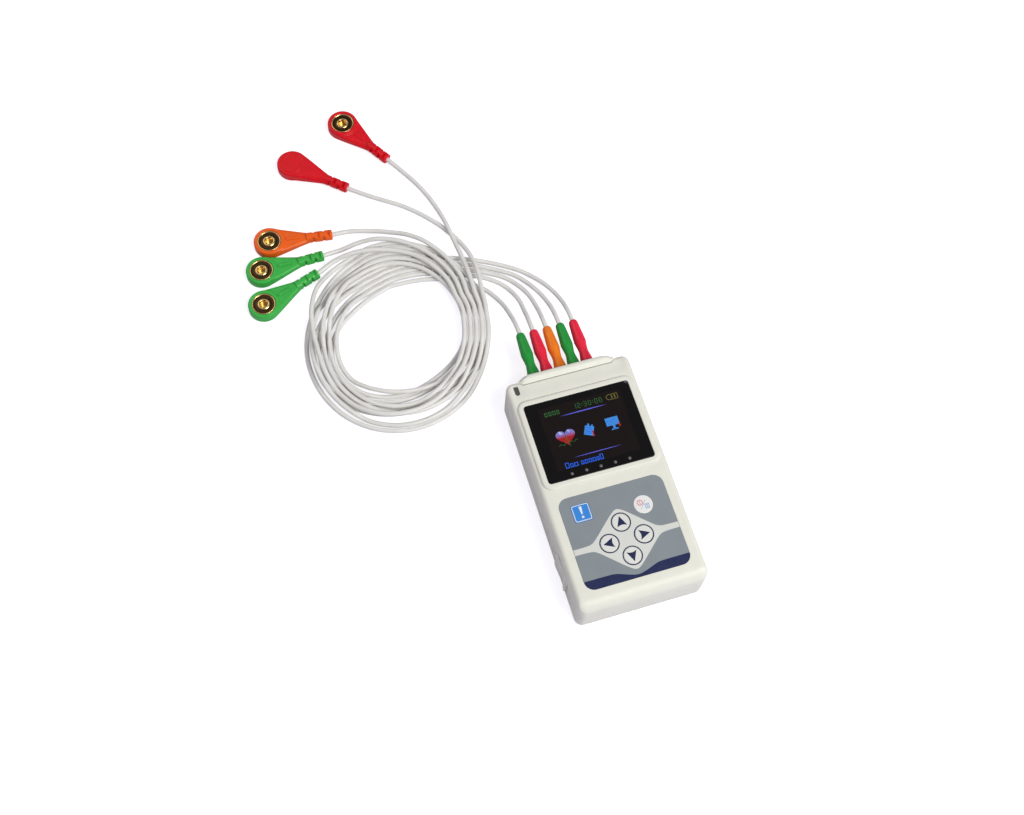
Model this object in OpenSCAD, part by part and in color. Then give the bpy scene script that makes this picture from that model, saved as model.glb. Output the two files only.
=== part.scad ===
// Holter monitor: a pocket heart recorder with a display, a membrane keypad
// and five snap leads whose cords lie wound together beside it.
// The origin is the middle of the recorder's underside. +Y points to the lead
// sockets, +Z out of the keypad side. All sizes are in millimetres.

/* [Case] */
// Width of the case beyond the display window, on each side
side_margin = 5.1; // [4.6:0.1:8]
// Length of the case between the display window and the lead sockets
upper_margin = 16.2; // [16:0.1:24]
// Length of the case between the display window and the keypad film
middle_margin = 8.4; // [8:0.1:12]
// Length of the case between the keypad film and the lower end
lower_margin = 8.6; // [8.2:0.1:14]
// Height of the keypad face above the table
body_h = 25; // [24.6:0.1:30]
// Thickness of the outer walls
wall = 2.2; // [1.8:0.1:2.6]
// Thickness of the rear cover's floor
floor_t = 1.8; // [1.5:0.1:2.2]
// Plan radius of the case corners
corner_r = 4; // [4:0.5:8]
// Radius of the upper edges along the sides
edge_r = 3; // [2:0.5:4]
// Radius of the upper edge at the lower end
lower_edge_r = 4; // [3:0.5:4]
// Radius of the underside's edges
rear_edge_r = 2.5; // [1.5:0.5:3]
// Height of the parting line between the covers
parting_z = 13; // [12:0.5:14]
// Height of the raised frame around the display
bezel_rise = 1; // [0.6:0.1:1.4]
// Height of the ridge over the lead sockets
hood_rise = 0.8; // [0.4:0.1:1.2]
// Depth of the ridge beyond the shoulders of the case
hood_reach = 2; // [1:0.5:3]

/* [Display] */
// Width of the display window
window_w = 52.6; // [50:0.1:54]
// Length of the display window
window_l = 41.2; // [40:0.1:43]
// Thickness of the display window
window_t = 1.2; // [0.8:0.1:1.5]
// Width of the ledge that the window is glued to
ledge_w = 1.3; // [1:0.1:1.6]
// Width of the display panel
panel_w = 44; // [40:0.5:46]
// Length of the display panel
panel_l = 34; // [32:0.5:34.5]
// Diameter of the status lights
led_d = 1.8; // [1.4:0.1:2.2]
// Distance between status lights
led_pitch = 7.15; // [6:0.05:8]

/* [Keypad] */
// Width of the keypad film
keypad_w = 51.2; // [49:0.1:54]
// Length of the keypad film
keypad_l = 45.6; // [44:0.1:47]
// Thickness of the keypad film
keypad_t = 0.6; // [0.4:0.1:0.8]
// Diameter of an arrow key
arrow_key_d = 8; // [7:0.1:9]
// Distance of each arrow key from the middle of the cross
arrow_reach = 8.4; // [7.8:0.1:9]
// Side of the square mark key
mark_key_w = 8.6; // [8:0.1:9.5]
// Diameter of the power key
power_key_d = 9; // [8:0.1:9.5]
// Travel of every key
key_travel = 0.5; // [0.3:0.05:0.6]
// Diameter of a key's stem
stem_d = 3; // [2.5:0.1:3.4]

/* [Leads] */
// Distance between neighbouring lead sockets
plug_pitch = 6.9; // [6.7:0.05:7.2]
// Height of the lead sockets above the table
plug_z = 14; // [13.8:0.1:14.4]
// Widest diameter of a plug
plug_d = 6.25; // [5.6:0.05:6.4]
// Length of a plug outside its socket
plug_l = 27.3; // [24:0.1:30]
// Diameter of the contact pins
pin_d = 1.5; // [1.2:0.1:1.8]
// Diameter of a lead's cord
cord_d = 2.4; // [2.4:0.1:2.6]
// Diameter of a snap head
snap_d = 16; // [14:0.5:17]
// Height of a snap head
snap_h = 5.4; // [5:0.1:6]
// Distance from a snap's middle to the end of its strain relief
snap_l = 32.5; // [30:0.5:34]
// Diameter of the electrode stud that a snap holds
stud_d = 4; // [3.8:0.1:4.1]

/* [Power] */
// Diameter of a battery cell
cell_d = 10.5; // [10:0.1:10.6]
// Length of a battery cell
cell_l = 44.5; // [43:0.1:45]
// Width of the battery door
door_w = 30; // [28:0.5:32]
// Thickness of the door's inner flange
flange_t = 0.8; // [0.6:0.1:1]

/* [Hidden] */

$fn = 64;
HULL_FN = 32;
EPS = 0.01;

CREAM = [0.92, 0.925, 0.885];
GREY = [0.545, 0.58, 0.6];
NAVY = [0.15, 0.18, 0.33];
GREEN = [0.17, 0.59, 0.25];
RED = [0.87, 0.16, 0.22];
ORANGE = [1, 0.45, 0.12];
CORD = [0.79, 0.79, 0.77];
LEAD_COLOURS = [GREEN, RED, ORANGE, GREEN, RED];

// Gap between parts that slide or turn on each other
slide_gap = 0.1;
// Gap between parts that only sit beside each other
seat_gap = 0.2;

// Case
body_w = window_w + 2 * side_margin;
body_l = lower_margin + keypad_l + middle_margin + window_l + upper_margin;
end_y = -body_l / 2;
face_y = body_l / 2;
shoulder_y = face_y - hood_reach;
inner_w = body_w - 2 * wall;
top_inner_z = body_h - wall;
bezel_z = body_h + bezel_rise;
bezel_margin = 3.2;
bezel_slope = 0.8;
bezel_r = 5;
hood_side = 5.75;
hood_l = 4;
hood_taper = 5;

// Display
window_y = face_y - upper_margin - window_l / 2;
window_z = bezel_z - 0.1 - window_t;
window_r = 1.5;
opening_w = window_w - 2 * ledge_w;
opening_l = window_l - 2 * ledge_w;
panel_t = 1.6;
panel_z = window_z - 0.5 - panel_t;
panel_y = window_y + opening_l / 2 - panel_l / 2 - 0.4;
frame_plate_t = 1;
frame_plate_z = panel_z - frame_plate_t;
frame_leg = 2.4;
led_y = window_y - opening_l / 2 + seat_gap + led_d / 2;

// Keypad
keypad_y = end_y + lower_margin + keypad_l / 2;
keypad_r = 4.8;
keypad_z = body_h - keypad_t;
cross_drop = 3.8;
cross_y = keypad_y - cross_drop;
mark_inset = [5.3, 4.5];
mark_x = -keypad_w / 2 + mark_inset[0] + mark_key_w / 2;
mark_y = keypad_y + keypad_l / 2 - mark_inset[1] - mark_key_w / 2;
power_inset = [8.2, 8.3];
power_x = keypad_w / 2 - power_inset[0] - power_key_d / 2;
power_y = keypad_y + keypad_l / 2 - power_inset[1] - power_key_d / 2;
key_proud = 0.2;
cap_t = 1.3;
cap_z = body_h + key_proud - cap_t;
well_z = cap_z - key_travel - slide_gap;
key_plate_t = 1.5;
key_plate_z = well_z - key_plate_t;
key_gap = 0.1;

// Lead sockets
lead_count = 5;
function plug_x(k) = (k - (lead_count - 1) / 2) * plug_pitch;
block_w = lead_count * plug_pitch + 4;
block_l = 12.6;
block_h = 11;
block_y = face_y - 0.4;
sleeve_d = 4.2;
socket_gap = 0.1;
socket_depth = 11;
pin_gap = 0.04;
pin_recess = 1.6;
pin_foot = 0.8;
plug_gap = 0.1;
contact_wall = 0.5;
contact_l = 17;
plug_y = face_y + plug_gap;
plug_end_y = plug_y + plug_l;
plug_tip_r = 1.6;

// Battery compartment
spring_l = 4;
plate_t = 0.4;
bay_gap = 0.25;
bay_l = cell_l + spring_l + 2 * plate_t;
bay_end = 0.9;
bay_y0 = end_y + wall + slide_gap + bay_end;
bay_y1 = bay_y0 + bay_l + 0.1;
bay_w = 2 * cell_d + 3 * bay_gap;
bay_wall = 1.2;
flange_z = floor_t + slide_gap;
flange_w = door_w + 3;
bay_z = flange_z + flange_t + slide_gap;
cell_z = bay_z + cell_d / 2;
bay_top = bay_z + cell_d + bay_gap;
bay_roof = 1;
cell_x = (cell_d + bay_gap) / 2;
door_l = bay_y1 - end_y + 2;
bay_length = end_y + door_l + 2 - bay_y0 + bay_end;
rail_w = 3;
shelf_t = 1.2;
spring_r = 3;
spring_wire = 0.7;
spring_turns = 3;

// Indicator window at the upper left corner
lens_x = -inner_w / 2 + 2.8;
lens_y = face_y - 6.6;
lens_w = 2;
lens_l = 5;

// Case screws
boss_d = 5.4;
screw_x = inner_w / 2 - 3;
screw_y = [end_y + 6, lens_y - lens_l / 2 - seat_gap - boss_d / 2];
screw_d = 2;
screw_head_d = 3.8;
screw_head_h = 1.6;
screw_l = 12;
screw_head_z = 1.2;

// Boards and what they carry
board_t = 1.6;
board_gap = 0.75;
board_z = bay_top + bay_roof + board_gap;
board_top = board_z + board_t;
board_side = 1.5;
board_w = inner_w - 2 * board_side;
board_end = 9.8;
board_y0 = end_y + wall + board_end;
board_y1 = screw_y[1] - boss_d / 2 - seat_gap;
switch_w = 6;
switch_h = key_plate_z - 0.3 - board_top;
switch_top = board_top + switch_h;
well_depth = 1;
stem_reach = 0.3;
post_d = 5;
board_screw_x = board_w / 2 - 3.7;
board_screw_y = [board_y0 + 5, board_y1 - 4];
board_screw_d = 2;

// Port cover on the left wall
port_y = end_y + 26.2;
port_l = 19;
port_z = 8;
port_h = 9.6;
port_t = 1.1;
port_pocket = 1.5;
hinge_r = 1;
hinge_pin_d = 1;
hinge_gap = 0.05;
// Room for the flap's edge as it swings past the hinge
hinge_room = 0.6;
hinge_y = port_y + port_l / 2;
hinge_x = -body_w / 2 + hinge_r;
lip_out = 1.1;
lip_l = 2.4;
usb_w = 8;
usb_h = 4;
usb_l = 9;
usb_y = port_y;
card_w = 11;
card_l = 15;
card_x = -board_screw_x + post_d / 2 + 0.5 + card_w / 2 + 2;
card_y = board_y1 - 18;
buzzer_d = 10;
buzzer_h = 4;
buzzer_x = board_w / 2 - 9.7;
buzzer_y = board_y1 - 25;
// Chips on the board: middle from the board's upper end, then width, length and height
CHIPS = [
  [0, -31, 12, 12, 1.2], [0, -13, 9, 7, 1.4], [-14, -21, 7, 5, 1.4],
  [14, -23, 7, 5, 1.4], [17, -52, 5, 4, 1.2]
];

// Cords: how far two cords that cross or lie side by side keep apart
table_gap = 0.05;
cord_gap = 0.55;
lay = cord_d + cord_gap;
lane_pitch = lay * 1.02;
cord_z = cord_d / 2 + table_gap;
coil_x = -71;
coil_y = 109;
// Samples in one turn of the coil, and where the coil starts and ends, in samples
ring_n = 24;
coil_start = 6;
coil_split = 28;
coil_end = 48;
coil_end_z = 7.25;
// Lane of each lead across the coil, inside first, after each change of lanes
LANES = [[0, 1, 2, 3, 4], [1, 0, 2, 4, 3], [0, 2, 1, 4, 3], [0, 3, 1, 2, 4], [0, 3, 2, 1, 4]];
// Turns at which each change of lanes starts and ends
CHANGES = [[0.34, 0.52], [0.62, 0.9], [1.34, 1.52], [1.64, 1.86]];
// Order in which the leads are laid
LAID = [0, 2, 4, 1, 3];

// Snap heads: middle and heading of each, for leads 1 to 5
SNAPS = [[-131.5, 143.5, 20], [-66, 240, -57.5], [-120.5, 178.8, -6.5], [-128.2, 163, 2], [-98, 222, -41]];
// The second red snap lies with its socket down
FLIPPED = [false, false, false, false, true];
boot_r = 2.7;
boot_l = 12.3;
snap_rim = 2;
dish_depth = 0.7;
socket_wall = 0.9;
socket_hole = 3.2;

// Free stretch of each cord from its plug to the coil
PLUG_RUNS = [
  [[-13.8, 92, 13.2], [-14, 101, 9], [-15.5, 112, 4], [-20, 122, 1.3], [-28, 129, 1.25],
   [-38, 134.2, 1.25], [-49, 137, 1.25], [-60, 138, 1.25]],
  [[-6.9, 92, 13.2], [-6.5, 102, 8.5], [-6.8, 112, 4.5], [-10.5, 122, 1.6], [-18, 129, 1.25],
   [-28, 134, 1.25], [-40, 138.5, 1.25], [-54, 141.2, 1.25]],
  [[0, 92, 13.2], [0.2, 103, 8], [-1.5, 115, 3.6], [-7, 125, 1.35], [-16, 131.6, 1.25],
   [-28, 137.3, 1.25], [-41, 141.9, 1.25], [-55, 144.4, 1.25]],
  [[6.9, 92, 13.2], [6.6, 103, 8.4], [3.8, 114, 4.6], [-2.4, 125.4, 1.7], [-13, 133.3, 1.25],
   [-27, 140.3, 1.25], [-41, 145.2, 1.25], [-55, 147.5, 1.25]],
  [[13.8, 92, 13.2], [13.2, 104, 8], [9.6, 115.5, 4.2], [2, 126.6, 1.6], [-10, 135.4, 1.25],
   [-25, 142.8, 1.25], [-40, 148.2, 1.25], [-55, 150.8, 1.25]]
];
// Free stretch of each cord from the coil to its snap
SNAP_RUNS = [
  [[-37, 119, 7.2], [-38.5, 130, 7.6], [-43.5, 140.5, 7.6], [-51, 149, 7.6], [-61, 154.8, 7.6],
   [-71, 157.8, 7.6], [-81, 159.2, 6.6], [-91, 158.6, 4]],
  [[-27.2, 120, 7.2], [-27.2, 131, 7.6], [-27.6, 141, 6], [-28.3, 151, 4.8], [-29.6, 164, 4.4],
   [-31.7, 178, 2], [-35.4, 190, 1.25], [-41, 201, 1.4]],
  [[-31, 120, 7.2], [-31.5, 131, 7.6], [-35.8, 143.5, 7.6], [-42.5, 154, 7.6], [-50.5, 162.7, 5.4],
   [-60, 169.2, 2.2], [-70, 173.2, 1.25], [-79.5, 175.2, 1.6]],
  [[-34, 120, 7.2], [-35, 130.5, 7.6], [-39.6, 142, 7.6], [-46.8, 151.6, 7.6], [-56, 159, 7.6],
   [-66.5, 163.6, 7.2], [-76.5, 165.6, 4.4], [-86.5, 165.2, 2]],
  [[-23.5, 120, 7.4], [-22.4, 131, 6.8], [-23, 143, 4.8], [-25.4, 153, 2.4], [-30, 162.4, 1.25],
   [-37.5, 172.5, 1.25], [-47.5, 182.4, 1.25], [-60.5, 191.5, 1.4]]
];

// Flat rounded rectangle
module rounded_rect(w, l, r) {
  square([w - 2 * r, l], center = true);
  square([w, l - 2 * r], center = true);
  for (sx = [-1, 1], sy = [-1, 1])
    translate([sx * (w / 2 - r), sy * (l / 2 - r)])
      circle(r = r);
}

// Upright plate with rounded corners, standing on z
module plate(w, l, r, z, h) {
  translate([0, 0, z])
    linear_extrude(height = h)
      rounded_rect(w, l, r);
}

// Quarter round of radius r as a list of points, from angle a0 to a1
function arc(cx, cy, r, a0, a1, n = 6) = [for (i = [0:n]) let(a = a0 + (a1 - a0) * i / n) [cx + r * cos(a), cy + r * sin(a)]];

// One corner of the case: a round post with its upper and lower edge rounded
module corner_post(z0, z1, lower_r, upper_r) {
  translate([0, 0, z0])
    rotate_extrude($fn = HULL_FN)
      polygon(concat(
        [[0, 0]],
        lower_r > 0 ? arc(corner_r - lower_r, lower_r, lower_r, -90, 0) : [[corner_r, 0]],
        upper_r > 0 ? arc(corner_r - upper_r, z1 - z0 - upper_r, upper_r, 0, 90) : [[corner_r, z1 - z0]],
        [[0, z1 - z0]]));
}

// Outer shape of the case between two heights
module case_shape(z0, z1, lower_r, side_r, end_r) {
  hull() {
    for (s = [-1, 1]) {
      translate([s * (body_w / 2 - corner_r), end_y + corner_r, 0])
        corner_post(z0, z1, lower_r, end_r);
      translate([s * (body_w / 2 - corner_r), shoulder_y - corner_r, 0])
        corner_post(z0, z1, lower_r, side_r);
    }
  }
}

// Ridge over the lead sockets, with ends that taper to the shoulders
module hood(z0, z1) {
  hood_w = block_w + 2 * hood_side;
  translate([0, 0, z0])
    linear_extrude(height = z1 - z0)
      polygon([
        [-hood_w / 2, face_y - hood_l], [hood_w / 2, face_y - hood_l],
        [hood_w / 2, shoulder_y - 0.2], [hood_w / 2 - hood_taper, face_y],
        [-hood_w / 2 + hood_taper, face_y], [-hood_w / 2, shoulder_y - 0.2]]);
}

// Raised frame around the display
module bezel_frame() {
  w = window_w + 2 * bezel_margin;
  l = window_l + 2 * bezel_margin;
  hull() {
    translate([0, window_y, 0])
      plate(w, l, bezel_r, body_h - bezel_rise, bezel_rise);
    translate([0, window_y, 0])
      plate(w - 2 * bezel_slope, l - 2 * bezel_slope, bezel_r - bezel_slope, body_h, bezel_rise);
  }
}

// Bosses that take the case screws
module at_case_screws() {
  for (sx = [-1, 1], y = screw_y)
    translate([sx * screw_x, y, 0])
      children();
}

module at_board_screws() {
  for (sx = [-1, 1], y = board_screw_y)
    translate([sx * board_screw_x, y, 0])
      children();
}

// Where the keys are: name, place and shape
KEYS = [
  ["up", 0, cross_y + arrow_reach, "arrow"],
  ["down", 0, cross_y - arrow_reach, "arrow"],
  ["left", -arrow_reach, cross_y, "arrow"],
  ["right", arrow_reach, cross_y, "arrow"],
  ["mark", mark_x, mark_y, "mark"],
  ["power", power_x, power_y, "power"]
];

// Outline of a key's cap, grown by a gap
module key_outline(shape, grow) {
  if (shape == "arrow") circle(d = arrow_key_d + 2 * grow);
  if (shape == "power") circle(d = power_key_d + 2 * grow);
  if (shape == "mark") rounded_rect(mark_key_w + 2 * grow, mark_key_w + 2 * grow, 1 + grow);
}

module key(i) {
  color(i == 4 ? [0.27, 0.56, 0.88] : [0.88, 0.88, 0.86])
    translate([KEYS[i][1], KEYS[i][2], 0]) {
      translate([0, 0, cap_z])
        linear_extrude(height = cap_t)
          key_outline(KEYS[i][3], 0);
      translate([0, 0, switch_top - stem_reach])
        cylinder(d = stem_d, h = cap_z - switch_top + stem_reach);
    }
}

module front_cover() {
  color(CREAM)
    difference() {
      union() {
        difference() {
          union() {
            case_shape(parting_z, body_h, 0, edge_r, lower_edge_r);
            hood(parting_z, body_h + hood_rise);
            bezel_frame();
          }
          translate([-inner_w / 2, end_y + wall, parting_z - 1])
            cube([inner_w, shoulder_y - end_y - 2 * wall, top_inner_z - lower_edge_r + wall - parting_z + 1]);
          translate([-inner_w / 2, end_y + wall + lower_edge_r, parting_z - 1])
            cube([inner_w, shoulder_y - end_y - 2 * wall - lower_edge_r, top_inner_z - parting_z + 1]);
        }
        // Thicker floor under the keys
        translate([-keypad_w / 2, keypad_y - keypad_l / 2 + 1, key_plate_z])
          cube([keypad_w, keypad_l - 1, well_z - key_plate_z]);
        at_case_screws()
          translate([0, 0, parting_z])
            cylinder(d = boss_d, h = top_inner_z - parting_z + wall / 4);
      }
      // Seat and opening of the display window
      translate([0, window_y, 0])
        plate(window_w + 2 * key_gap, window_l + 2 * key_gap, window_r, window_z, 5);
      translate([0, window_y, 0])
        plate(opening_w, opening_l, 1, top_inner_z - 3, 8);
      // Seat of the keypad film and the wells and holes of the keys
      translate([0, keypad_y, 0])
        plate(keypad_w + 2 * key_gap, keypad_l + 2 * key_gap, keypad_r + key_gap, keypad_z, 3);
      for (k = KEYS)
        translate([k[1], k[2], 0]) {
          translate([0, 0, well_z])
            linear_extrude(height = 4)
              key_outline(k[3], key_gap);
          translate([0, 0, key_plate_z - 1])
            cylinder(d = stem_d + 2 * slide_gap, h = key_plate_t + 2);
        }
      // Indicator window
      translate([lens_x, lens_y, 0])
        plate(lens_w + 2 * key_gap, lens_l + 2 * key_gap, lens_w / 2 + key_gap - EPS, top_inner_z - 1, 6);
      // Way in for the lead sockets
      translate([-block_w / 2 - seat_gap, block_y - block_l, parting_z - 1])
        cube([block_w + 2 * seat_gap, block_l + 3, plug_z + block_h / 2 + seat_gap - parting_z + 1]);
      at_case_screws()
        translate([0, 0, parting_z - 1])
          cylinder(d = screw_d + 2 * hinge_gap, h = screw_l - parting_z + screw_head_z + screw_head_h + 2);
    }
}

module rear_cover() {
  color(CREAM)
    difference() {
      union() {
        difference() {
          union() {
            case_shape(0, parting_z, rear_edge_r, 0, 0);
            hood(rear_edge_r + 1, parting_z);
          }
          translate([-inner_w / 2, end_y + wall, floor_t])
            cube([inner_w, shoulder_y - end_y - 2 * wall, parting_z]);
        }
        // Battery compartment, and the shelves beside it that the door's flange runs under
        translate([-bay_w / 2 - bay_wall, bay_y0 - bay_end, EPS])
          cube([bay_w + 2 * bay_wall, bay_length, bay_top + bay_roof]);
        translate([-flange_w / 2 - slide_gap - rail_w, bay_y0 - bay_end, EPS])
          cube([flange_w + 2 * (slide_gap + rail_w), bay_length, bay_z + shelf_t]);
        at_board_screws()
          cylinder(d = post_d, h = board_z);
        at_case_screws()
          cylinder(d = boss_d, h = parting_z);
      }
      // Inside of the battery compartment
      translate([-bay_w / 2, bay_y0, -1])
        cube([bay_w, bay_y1 - bay_y0, bay_top + 1]);
      // Opening and groove of the door
      translate([-door_w / 2 - slide_gap, end_y - 1, -1])
        cube([door_w + 2 * slide_gap, door_l + 1 + slide_gap, bay_z + 1]);
      translate([-flange_w / 2 - slide_gap, end_y - 1, floor_t])
        cube([flange_w + 2 * slide_gap, door_l + 1 + slide_gap, bay_z - floor_t]);
      // Pocket of the port cover, the port and the hinge
      translate([-body_w / 2 - 1, hinge_y - port_l - seat_gap, port_z - port_h / 2 - slide_gap])
        cube([1 + port_pocket, port_l + seat_gap, port_h + 2 * slide_gap]);
      translate([hinge_x, hinge_y, port_z - port_h / 2 - slide_gap])
        cylinder(r = hinge_r + hinge_room, h = port_h + 2 * slide_gap);
      translate([hinge_x, hinge_y, 2])
        cylinder(d = hinge_pin_d + 0.02, h = parting_z);
      translate([-body_w / 2 - 1, usb_y - usb_w / 2 - seat_gap, port_z - usb_h / 2 - seat_gap])
        cube([wall + 2, usb_w + 2 * seat_gap, usb_h + 2 * seat_gap]);
      // Way in for the lead sockets
      translate([-block_w / 2 - seat_gap, block_y - block_l, plug_z - block_h / 2 - seat_gap])
        cube([block_w + 2 * seat_gap, block_l + 3, block_h]);
      at_case_screws() {
        translate([0, 0, -1])
          cylinder(d = screw_head_d + 0.4, h = screw_head_z + screw_head_h + 1);
        translate([0, 0, 0])
          cylinder(d = screw_d + 2 * hinge_gap, h = parting_z + 1);
      }
      at_board_screws()
        translate([0, 0, board_z - 6])
          cylinder(d = board_screw_d + 2 * hinge_gap, h = 7);
    }
}

module display_window() {
  color([0.1, 0.1, 0.11])
    translate([0, window_y, 0])
      plate(window_w, window_l, window_r - key_gap, window_z, window_t);
}

module display_panel() {
  color([0.13, 0.1, 0.1])
    translate([-panel_w / 2, panel_y - panel_l / 2, panel_z])
      cube([panel_w, panel_l, panel_t]);
}

module display_frame() {
  color("silver")
    translate([0, panel_y, 0]) {
      translate([-panel_w / 2, -panel_l / 2, frame_plate_z])
        cube([panel_w, panel_l, frame_plate_t]);
      for (sx = [-1, 1], sy = [-1, 1])
        translate([sx * (panel_w - frame_leg) / 2 - frame_leg / 2, sy * (panel_l - frame_leg) / 2 - frame_leg / 2, board_top])
          cube([frame_leg, frame_leg, frame_plate_z - board_top]);
    }
}

module keypad_film() {
  color(GREY)
    difference() {
      translate([0, keypad_y, 0])
        plate(keypad_w, keypad_l, keypad_r, keypad_z, keypad_t);
      for (k = KEYS)
        translate([k[1], k[2], keypad_z - 1])
          linear_extrude(height = 3)
            key_outline(k[3], key_gap);
    }
}

module key_switches() {
  color([0.2, 0.2, 0.2])
    for (k = KEYS)
      translate([k[1], k[2], board_top])
        difference() {
          translate([-switch_w / 2, -switch_w / 2, 0])
            cube([switch_w, switch_w, switch_h]);
          translate([0, 0, switch_h - well_depth])
            cylinder(d = stem_d + 2 * seat_gap, h = well_depth + 1);
        }
}

module main_board() {
  color([0.1, 0.35, 0.18])
    difference() {
      translate([-board_w / 2, board_y0, board_z])
        cube([board_w, board_y1 - board_y0, board_t]);
      at_board_screws()
        translate([0, 0, board_z - 1])
          cylinder(d = board_screw_d + 2 * slide_gap, h = board_t + 2);
    }
}

// Processor, recorder chips and the amplifier, soldered to the board
module board_chips() {
  color([0.12, 0.12, 0.13])
    for (c = CHIPS)
      translate([c[0] - c[2] / 2, board_y1 + c[1] - c[3] / 2, board_top])
        cube([c[2], c[3], c[4]]);
}

module status_lights() {
  color([0.6, 0.62, 0.62])
    for (i = [-2:2])
      translate([i * led_pitch, led_y, board_top])
        cylinder(d = led_d, h = window_z - 0.2 - board_top);
}

// Grey window of the infrared eye, with its guide down to the board
module indicator_lens() {
  color([0.35, 0.36, 0.34])
    translate([lens_x, lens_y, 0]) {
      plate(lens_w, lens_l, lens_w / 2 - EPS, top_inner_z - 0.6, wall + 0.5);
      plate(lens_w + 1.4, lens_l - 0.6, lens_w / 2, top_inner_z - 1.5, 1.4);
    }
}

module socket_block() {
  color([0.3, 0.31, 0.33])
    difference() {
      translate([-block_w / 2, block_y - block_l, plug_z - block_h / 2])
        cube([block_w, block_l, block_h]);
      for (k = [0:lead_count - 1])
        translate([plug_x(k), block_y, plug_z])
          rotate([90, 0, 0]) {
            translate([0, 0, -1])
              cylinder(d = sleeve_d + 2 * socket_gap, h = socket_depth + 1);
            cylinder(d = pin_d, h = block_l + 1);
          }
    }
}

module socket_pins() {
  color("gold")
    for (k = [0:lead_count - 1])
      translate([plug_x(k), block_y - pin_recess, plug_z]) {
        rotate([90, 0, 0])
          cylinder(d = pin_d, h = block_y - pin_recess - board_y1 + 2 * pin_foot);
        translate([-pin_foot / 2, board_y1 - 2 * pin_foot - block_y + pin_recess, 0])
          cube([pin_foot, pin_foot, board_z - plug_z]);
      }
}

// Sliding door: outer plate, inner flange and the end lip, cut to the case's shape
module battery_door() {
  color(CREAM)
    difference() {
      intersection() {
        case_shape(0, parting_z, rear_edge_r, 0, 0);
        union() {
          translate([-door_w / 2, end_y - 1, -1])
            cube([door_w, door_l + 1, flange_z + flange_t / 2 + 1]);
          translate([-flange_w / 2, end_y - 1, flange_z])
            cube([flange_w, door_l + 1, flange_t]);
        }
      }
      // Thumb grooves
      for (i = [0:2])
        translate([-7, end_y + 12 + 2.4 * i, -1])
          cube([14, 1, 1.5]);
    }
}

module battery_cells() {
  color([0.75, 0.6, 0.2])
    for (s = [-1, 1])
      translate([s * cell_x, s < 0 ? bay_y0 + plate_t + spring_l : bay_y0 + plate_t, cell_z])
        rotate([-90, 0, 0]) {
          cylinder(d = cell_d, h = cell_l - 1);
          cylinder(d = 3.8, h = cell_l);
        }
}

// Tube swept along a path; the end faces stand square to n0 and n1
function unit(v) = v / norm(v);
function heading(p, i) =
  let(a = p[max(0, i - 1)], b = p[min(len(p) - 1, i + 1)])
  unit(unit(p[i] - a + (i == 0 ? b - p[i] : [0, 0, 0])) + unit(b - p[i] + (i == len(p) - 1 ? p[i] - a : [0, 0, 0])));
module tube(p, d, sides, n0, n1) {
  n = len(p);
  dirs = [for (i = [0:n - 1]) i == 0 ? unit(n0) : i == n - 1 ? unit(n1) : heading(p, i)];
  points = [for (i = [0:n - 1])
    let(t = dirs[i], side = unit(cross(t, [0, 0, 1])), up = cross(side, t))
    for (j = [0:sides - 1])
      p[i] + d / 2 * (side * cos(360 * j / sides) + up * sin(360 * j / sides))];
  walls = [for (i = [0:n - 2], j = [0:sides - 1])
    let(a = i * sides + j, b = i * sides + (j + 1) % sides)
    each [[a, b, b + sides], [a, b + sides, a + sides]]];
  first = [for (j = [1:sides - 2]) [0, j + 1, j]];
  last = [for (j = [1:sides - 2]) let(a = (n - 1) * sides) [a, a + j, a + j + 1]];
  polyhedron(points = points, faces = concat(walls, first, last), convexity = 8);
}

// Coil spring standing along +Y between its two ends, closed off by a flat turn
module coil_spring(l) {
  steps = 8 * spring_turns;
  p = [for (i = [0:steps])
    [spring_r * cos(45 * i), spring_wire / 2 + (l - spring_wire) * i / steps, spring_r * sin(45 * i)]];
  n = len(p);
  ring = [for (i = [0:n - 1])
    let(t = unit(p[min(n - 1, i + 1)] - p[max(0, i - 1)]), side = unit(cross(t, [0, 1, 0])), up = cross(side, t))
    for (j = [0:5]) p[i] + spring_wire / 2 * (side * cos(60 * j) + up * sin(60 * j))];
  walls = [for (i = [0:n - 2], j = [0:5])
    let(a = i * 6 + j, b = i * 6 + (j + 1) % 6)
    each [[a, b, b + 6], [a, b + 6, a + 6]]];
  first = [for (j = [1:4]) [0, j + 1, j]];
  last = [for (j = [1:4]) let(a = (n - 1) * 6) [a, a + j, a + j + 1]];
  polyhedron(points = ring, faces = concat(walls, first, last), convexity = 8);
}

module battery_springs() {
  color("silver") {
    translate([-cell_x, bay_y0 + plate_t, cell_z])
      coil_spring(spring_l);
    translate([cell_x, bay_y0 + plate_t + cell_l, cell_z])
      coil_spring(spring_l);
  }
}

module battery_plates() {
  color("silver")
    for (y = [bay_y0, bay_y0 + bay_l - plate_t], s = [-1, 1])
      translate([s * cell_x - cell_d / 2 + 0.2, y, cell_z - 4])
        cube([cell_d - 0.4, plate_t, 8]);
}

module port_cover() {
  x0 = -body_w / 2;
  z0 = port_z - port_h / 2;
  color(CREAM)
    difference() {
      union() {
        translate([x0, hinge_y - port_l, z0])
          cube([port_t, port_l, port_h]);
        translate([hinge_x, hinge_y, z0])
          cylinder(r = hinge_r, h = port_h);
        translate([0, hinge_y - port_l, z0 + 1])
          linear_extrude(height = port_h - 2)
            polygon([[x0, 0], [x0 - lip_out, 0.4], [x0 - lip_out, 1], [x0, lip_l + 4]]);
      }
      translate([hinge_x, hinge_y, z0 - 1])
        cylinder(d = hinge_pin_d + 2 * hinge_gap, h = port_h + 2);
    }
}

module port_cover_pin() {
  color("silver")
    translate([hinge_x, hinge_y, 2])
      cylinder(d = hinge_pin_d, h = parting_z - 2);
}

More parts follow.
